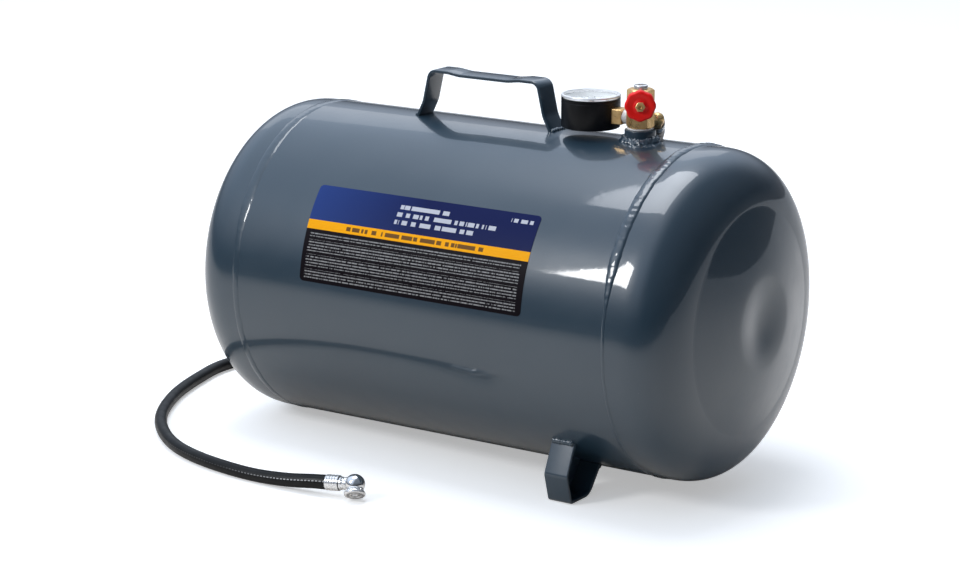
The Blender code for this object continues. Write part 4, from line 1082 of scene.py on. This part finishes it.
def build_label():
    """A printed film wrapped to the shell, with rounded corners."""
    columns, rows = 160, 48
    corner = 4.0
    lift = 0.35
    thickness = 0.18
    width = LABEL_RIGHT - LABEL_LEFT
    height = (LABEL_BOTTOM - LABEL_TOP) * RADIUS
    points = []
    for reach in (RADIUS + lift, RADIUS + lift - thickness):
        for i in range(columns + 1):
            share = (1 - math.cos(math.pi * i / columns)) / 2
            x = width * share
            inset = max(corner - x, corner - (width - x), 0.0)
            trim = corner - math.sqrt(max(corner ** 2 - inset ** 2, 0.0))
            for j in range(rows + 1):
                down = trim + (height - 2 * trim) * j / rows
                turn = LABEL_TOP + down / RADIUS
                points.append((LABEL_LEFT + x, -reach * math.sin(turn), reach * math.cos(turn)))
    faces = []
    sheet = (columns + 1) * (rows + 1)
    for i in range(columns):
        for j in range(rows):
            a = i * (rows + 1) + j
            b = a + rows + 1
            faces.append((a, b, b + 1, a + 1))
            faces.append((sheet + a, sheet + a + 1, sheet + b + 1, sheet + b))
    rim = [i * (rows + 1) for i in range(columns + 1)]
    rim += [columns * (rows + 1) + j for j in range(1, rows + 1)]
    rim += [i * (rows + 1) + rows for i in range(columns - 1, -1, -1)]
    rim += range(rows - 1, 0, -1)
    for a, b in zip(rim, rim[1:] + rim[:1]):
        faces.append((a, sheet + a, sheet + b, b))
    mesh = stand_for("info_label", (points, faces), "label_film", sharp=40).data
    layer = mesh.uv_layers.new(name="UVMap")
    back = PLACE.inverted()
    for loop in mesh.loops:
        point = back @ mesh.vertices[loop.vertex_index].co
        down = (math.atan2(-point.y, point.z) - LABEL_TOP) * RADIUS
        layer.data[loop.index].uv = ((point.x - LABEL_LEFT) / width, down / height)


# ---------------- the rest, the stage and the camera

def dress_cad_nodes():
    """Every CAD node gets its finished material, for the ones that still show."""
    slots = {part["node"]: part["material_slot"] for part in frame["record"]["subparts"]}
    for node, obj in frame["nodes"].items():
        obj.data.materials.clear()
        obj.data.materials.append(LOOKS[slots[node]])


def aimed(centre, back):
    """A frame at centre whose Z points along back, as a lamp or a camera needs."""
    return Matrix.Translation(centre) @ back.to_track_quat("Z", "Y").to_matrix().to_4x4()


def area_light(name, centre, facing, size, radiance, turn=0, colour=(1, 1, 1)):
    """A flat soft box at centre, shining along facing, that the camera itself doesn't see. Lengths in mm."""
    data = bpy.data.lights.new(name, "AREA")
    data.color = colour
    data.shape = "RECTANGLE"
    data.size, data.size_y = (side / 1000 for side in size)
    data.energy = radiance * math.pi * data.size * data.size_y
    roll = Matrix.Rotation(math.radians(turn), 4, "Z")
    obj = show(name, data, aimed(PLACE @ Vector(centre), -Vector(facing)) @ roll)
    obj.visible_camera = False


def floor_look():
    """Near white to the camera. The glossy paint sees a sheet of paper that ends some way from the tank."""
    look = Look("floor_look")
    direct = look.add("ShaderNodeLightPath").outputs["Is Camera Ray"]
    reach = look.add("ShaderNodeSeparateXYZ", {0: look.place()}).outputs["Y"]
    sheet = look.mix(look.spread(reach, 1, 0, -1.1, -0.65), (0.82, 0.76, 0.69), (0.06, 0.06, 0.06))
    return look.surface(
        Base_Color=look.mix(direct, sheet, (0.93, 0.93, 0.92)),
        Roughness=0.8,
        Specular_IOR_Level=0.1,
        Emission_Color=(1.0, 1.0, 1.0, 1),
        Emission_Strength=look.math("MULTIPLY", direct, 0.42),
    )


def build_floor():
    mesh = bpy.data.meshes.new("floor")
    shape = bmesh.new()
    bmesh.ops.create_grid(shape, x_segments=2, y_segments=2, size=14)
    shape.to_mesh(mesh)
    shape.free()
    mesh.materials.append(floor_look())
    touch = PLACE @ Vector((0, 0, ground_z(0) - 0.2))
    show("floor", mesh, Matrix.Translation(touch) @ Matrix.Rotation(GROUND_SLOPE, 4, "Y"))


def build_studio():
    """White to the camera. To everything else, a soft dome that falls off to a dim horizon and to +X."""
    look = Look("studio", "worlds")
    SCENE.world = look.holder
    facing = look.add("ShaderNodeSeparateXYZ", {0: look.add("ShaderNodeTexCoord").outputs["Generated"]})
    ramp = look.add("ShaderNodeValToRGB", {0: facing.outputs["Z"]})
    stops = ((0.0, (0.10, 0.10, 0.11)), (0.08, (0.10, 0.11, 0.13)), (0.30, (0.45, 0.51, 0.61)),
             (0.60, (0.70, 0.83, 1.03)), (1.0, (0.78, 0.88, 1.04)))
    for _ in stops[2:]:
        ramp.color_ramp.elements.new(0.5)
    for element, (position, colour) in zip(ramp.color_ramp.elements, stops):
        element.position = position
        element.color = (*colour, 1)
    side = look.add("ShaderNodeMapRange", interpolation_type="SMOOTHSTEP")
    look.feed(side, {"Value": facing.outputs["X"], "From Min": -0.05, "From Max": 0.45})
    look.feed(side, {"To Min": 1.05, "To Max": 0.24})
    dome = look.tree.nodes["Background"]
    look.feed(dome, {"Color": ramp.outputs[0], "Strength": side.outputs["Result"]})
    white = look.add("ShaderNodeBackground", {"Color": (1, 1, 1, 1)})
    direct = look.add("ShaderNodeLightPath").outputs["Is Camera Ray"]
    choice = look.add("ShaderNodeMixShader", {0: direct, 1: dome.outputs[0], 2: white.outputs[0]})
    look.feed(look.tree.nodes["World Output"], {"Surface": choice.outputs[0]})
    area_light("overhead_box", (-250, 200, 1720), (0, 0, -1), (1000, 1240), 4.7, -6, (0.92, 0.95, 1.0))
    area_light("back_box", (-1500, 1900, 1500), (1500, -1900, -1350), (2400, 900), 0.5)
    area_light("window", (-620, -1568, 1015), (0.50, 0.71, -0.48), (360, 500), 20)
    area_light("window_strip", (-790, -1550, 1000), (0.50, 0.71, -0.48), (66, 80), 12)
    SCENE.view_settings.view_transform = "Standard"


def build_camera():
    data = bpy.data.cameras.new("camera")
    data.sensor_width = SENSOR
    data.lens = LENS
    SCENE.camera = show("camera", data, aimed(PLACE @ EYE, EYE - TARGET))


dress_cad_nodes()
build_vessel()
build_handle()
build_feet()
build_neck()
build_manifold()
build_shutoff_valve()
build_relief_valve()
build_fill_valve()
build_gauge()
build_elbow()
build_hose()
build_chuck()
build_label()
build_floor()
build_studio()
build_camera()
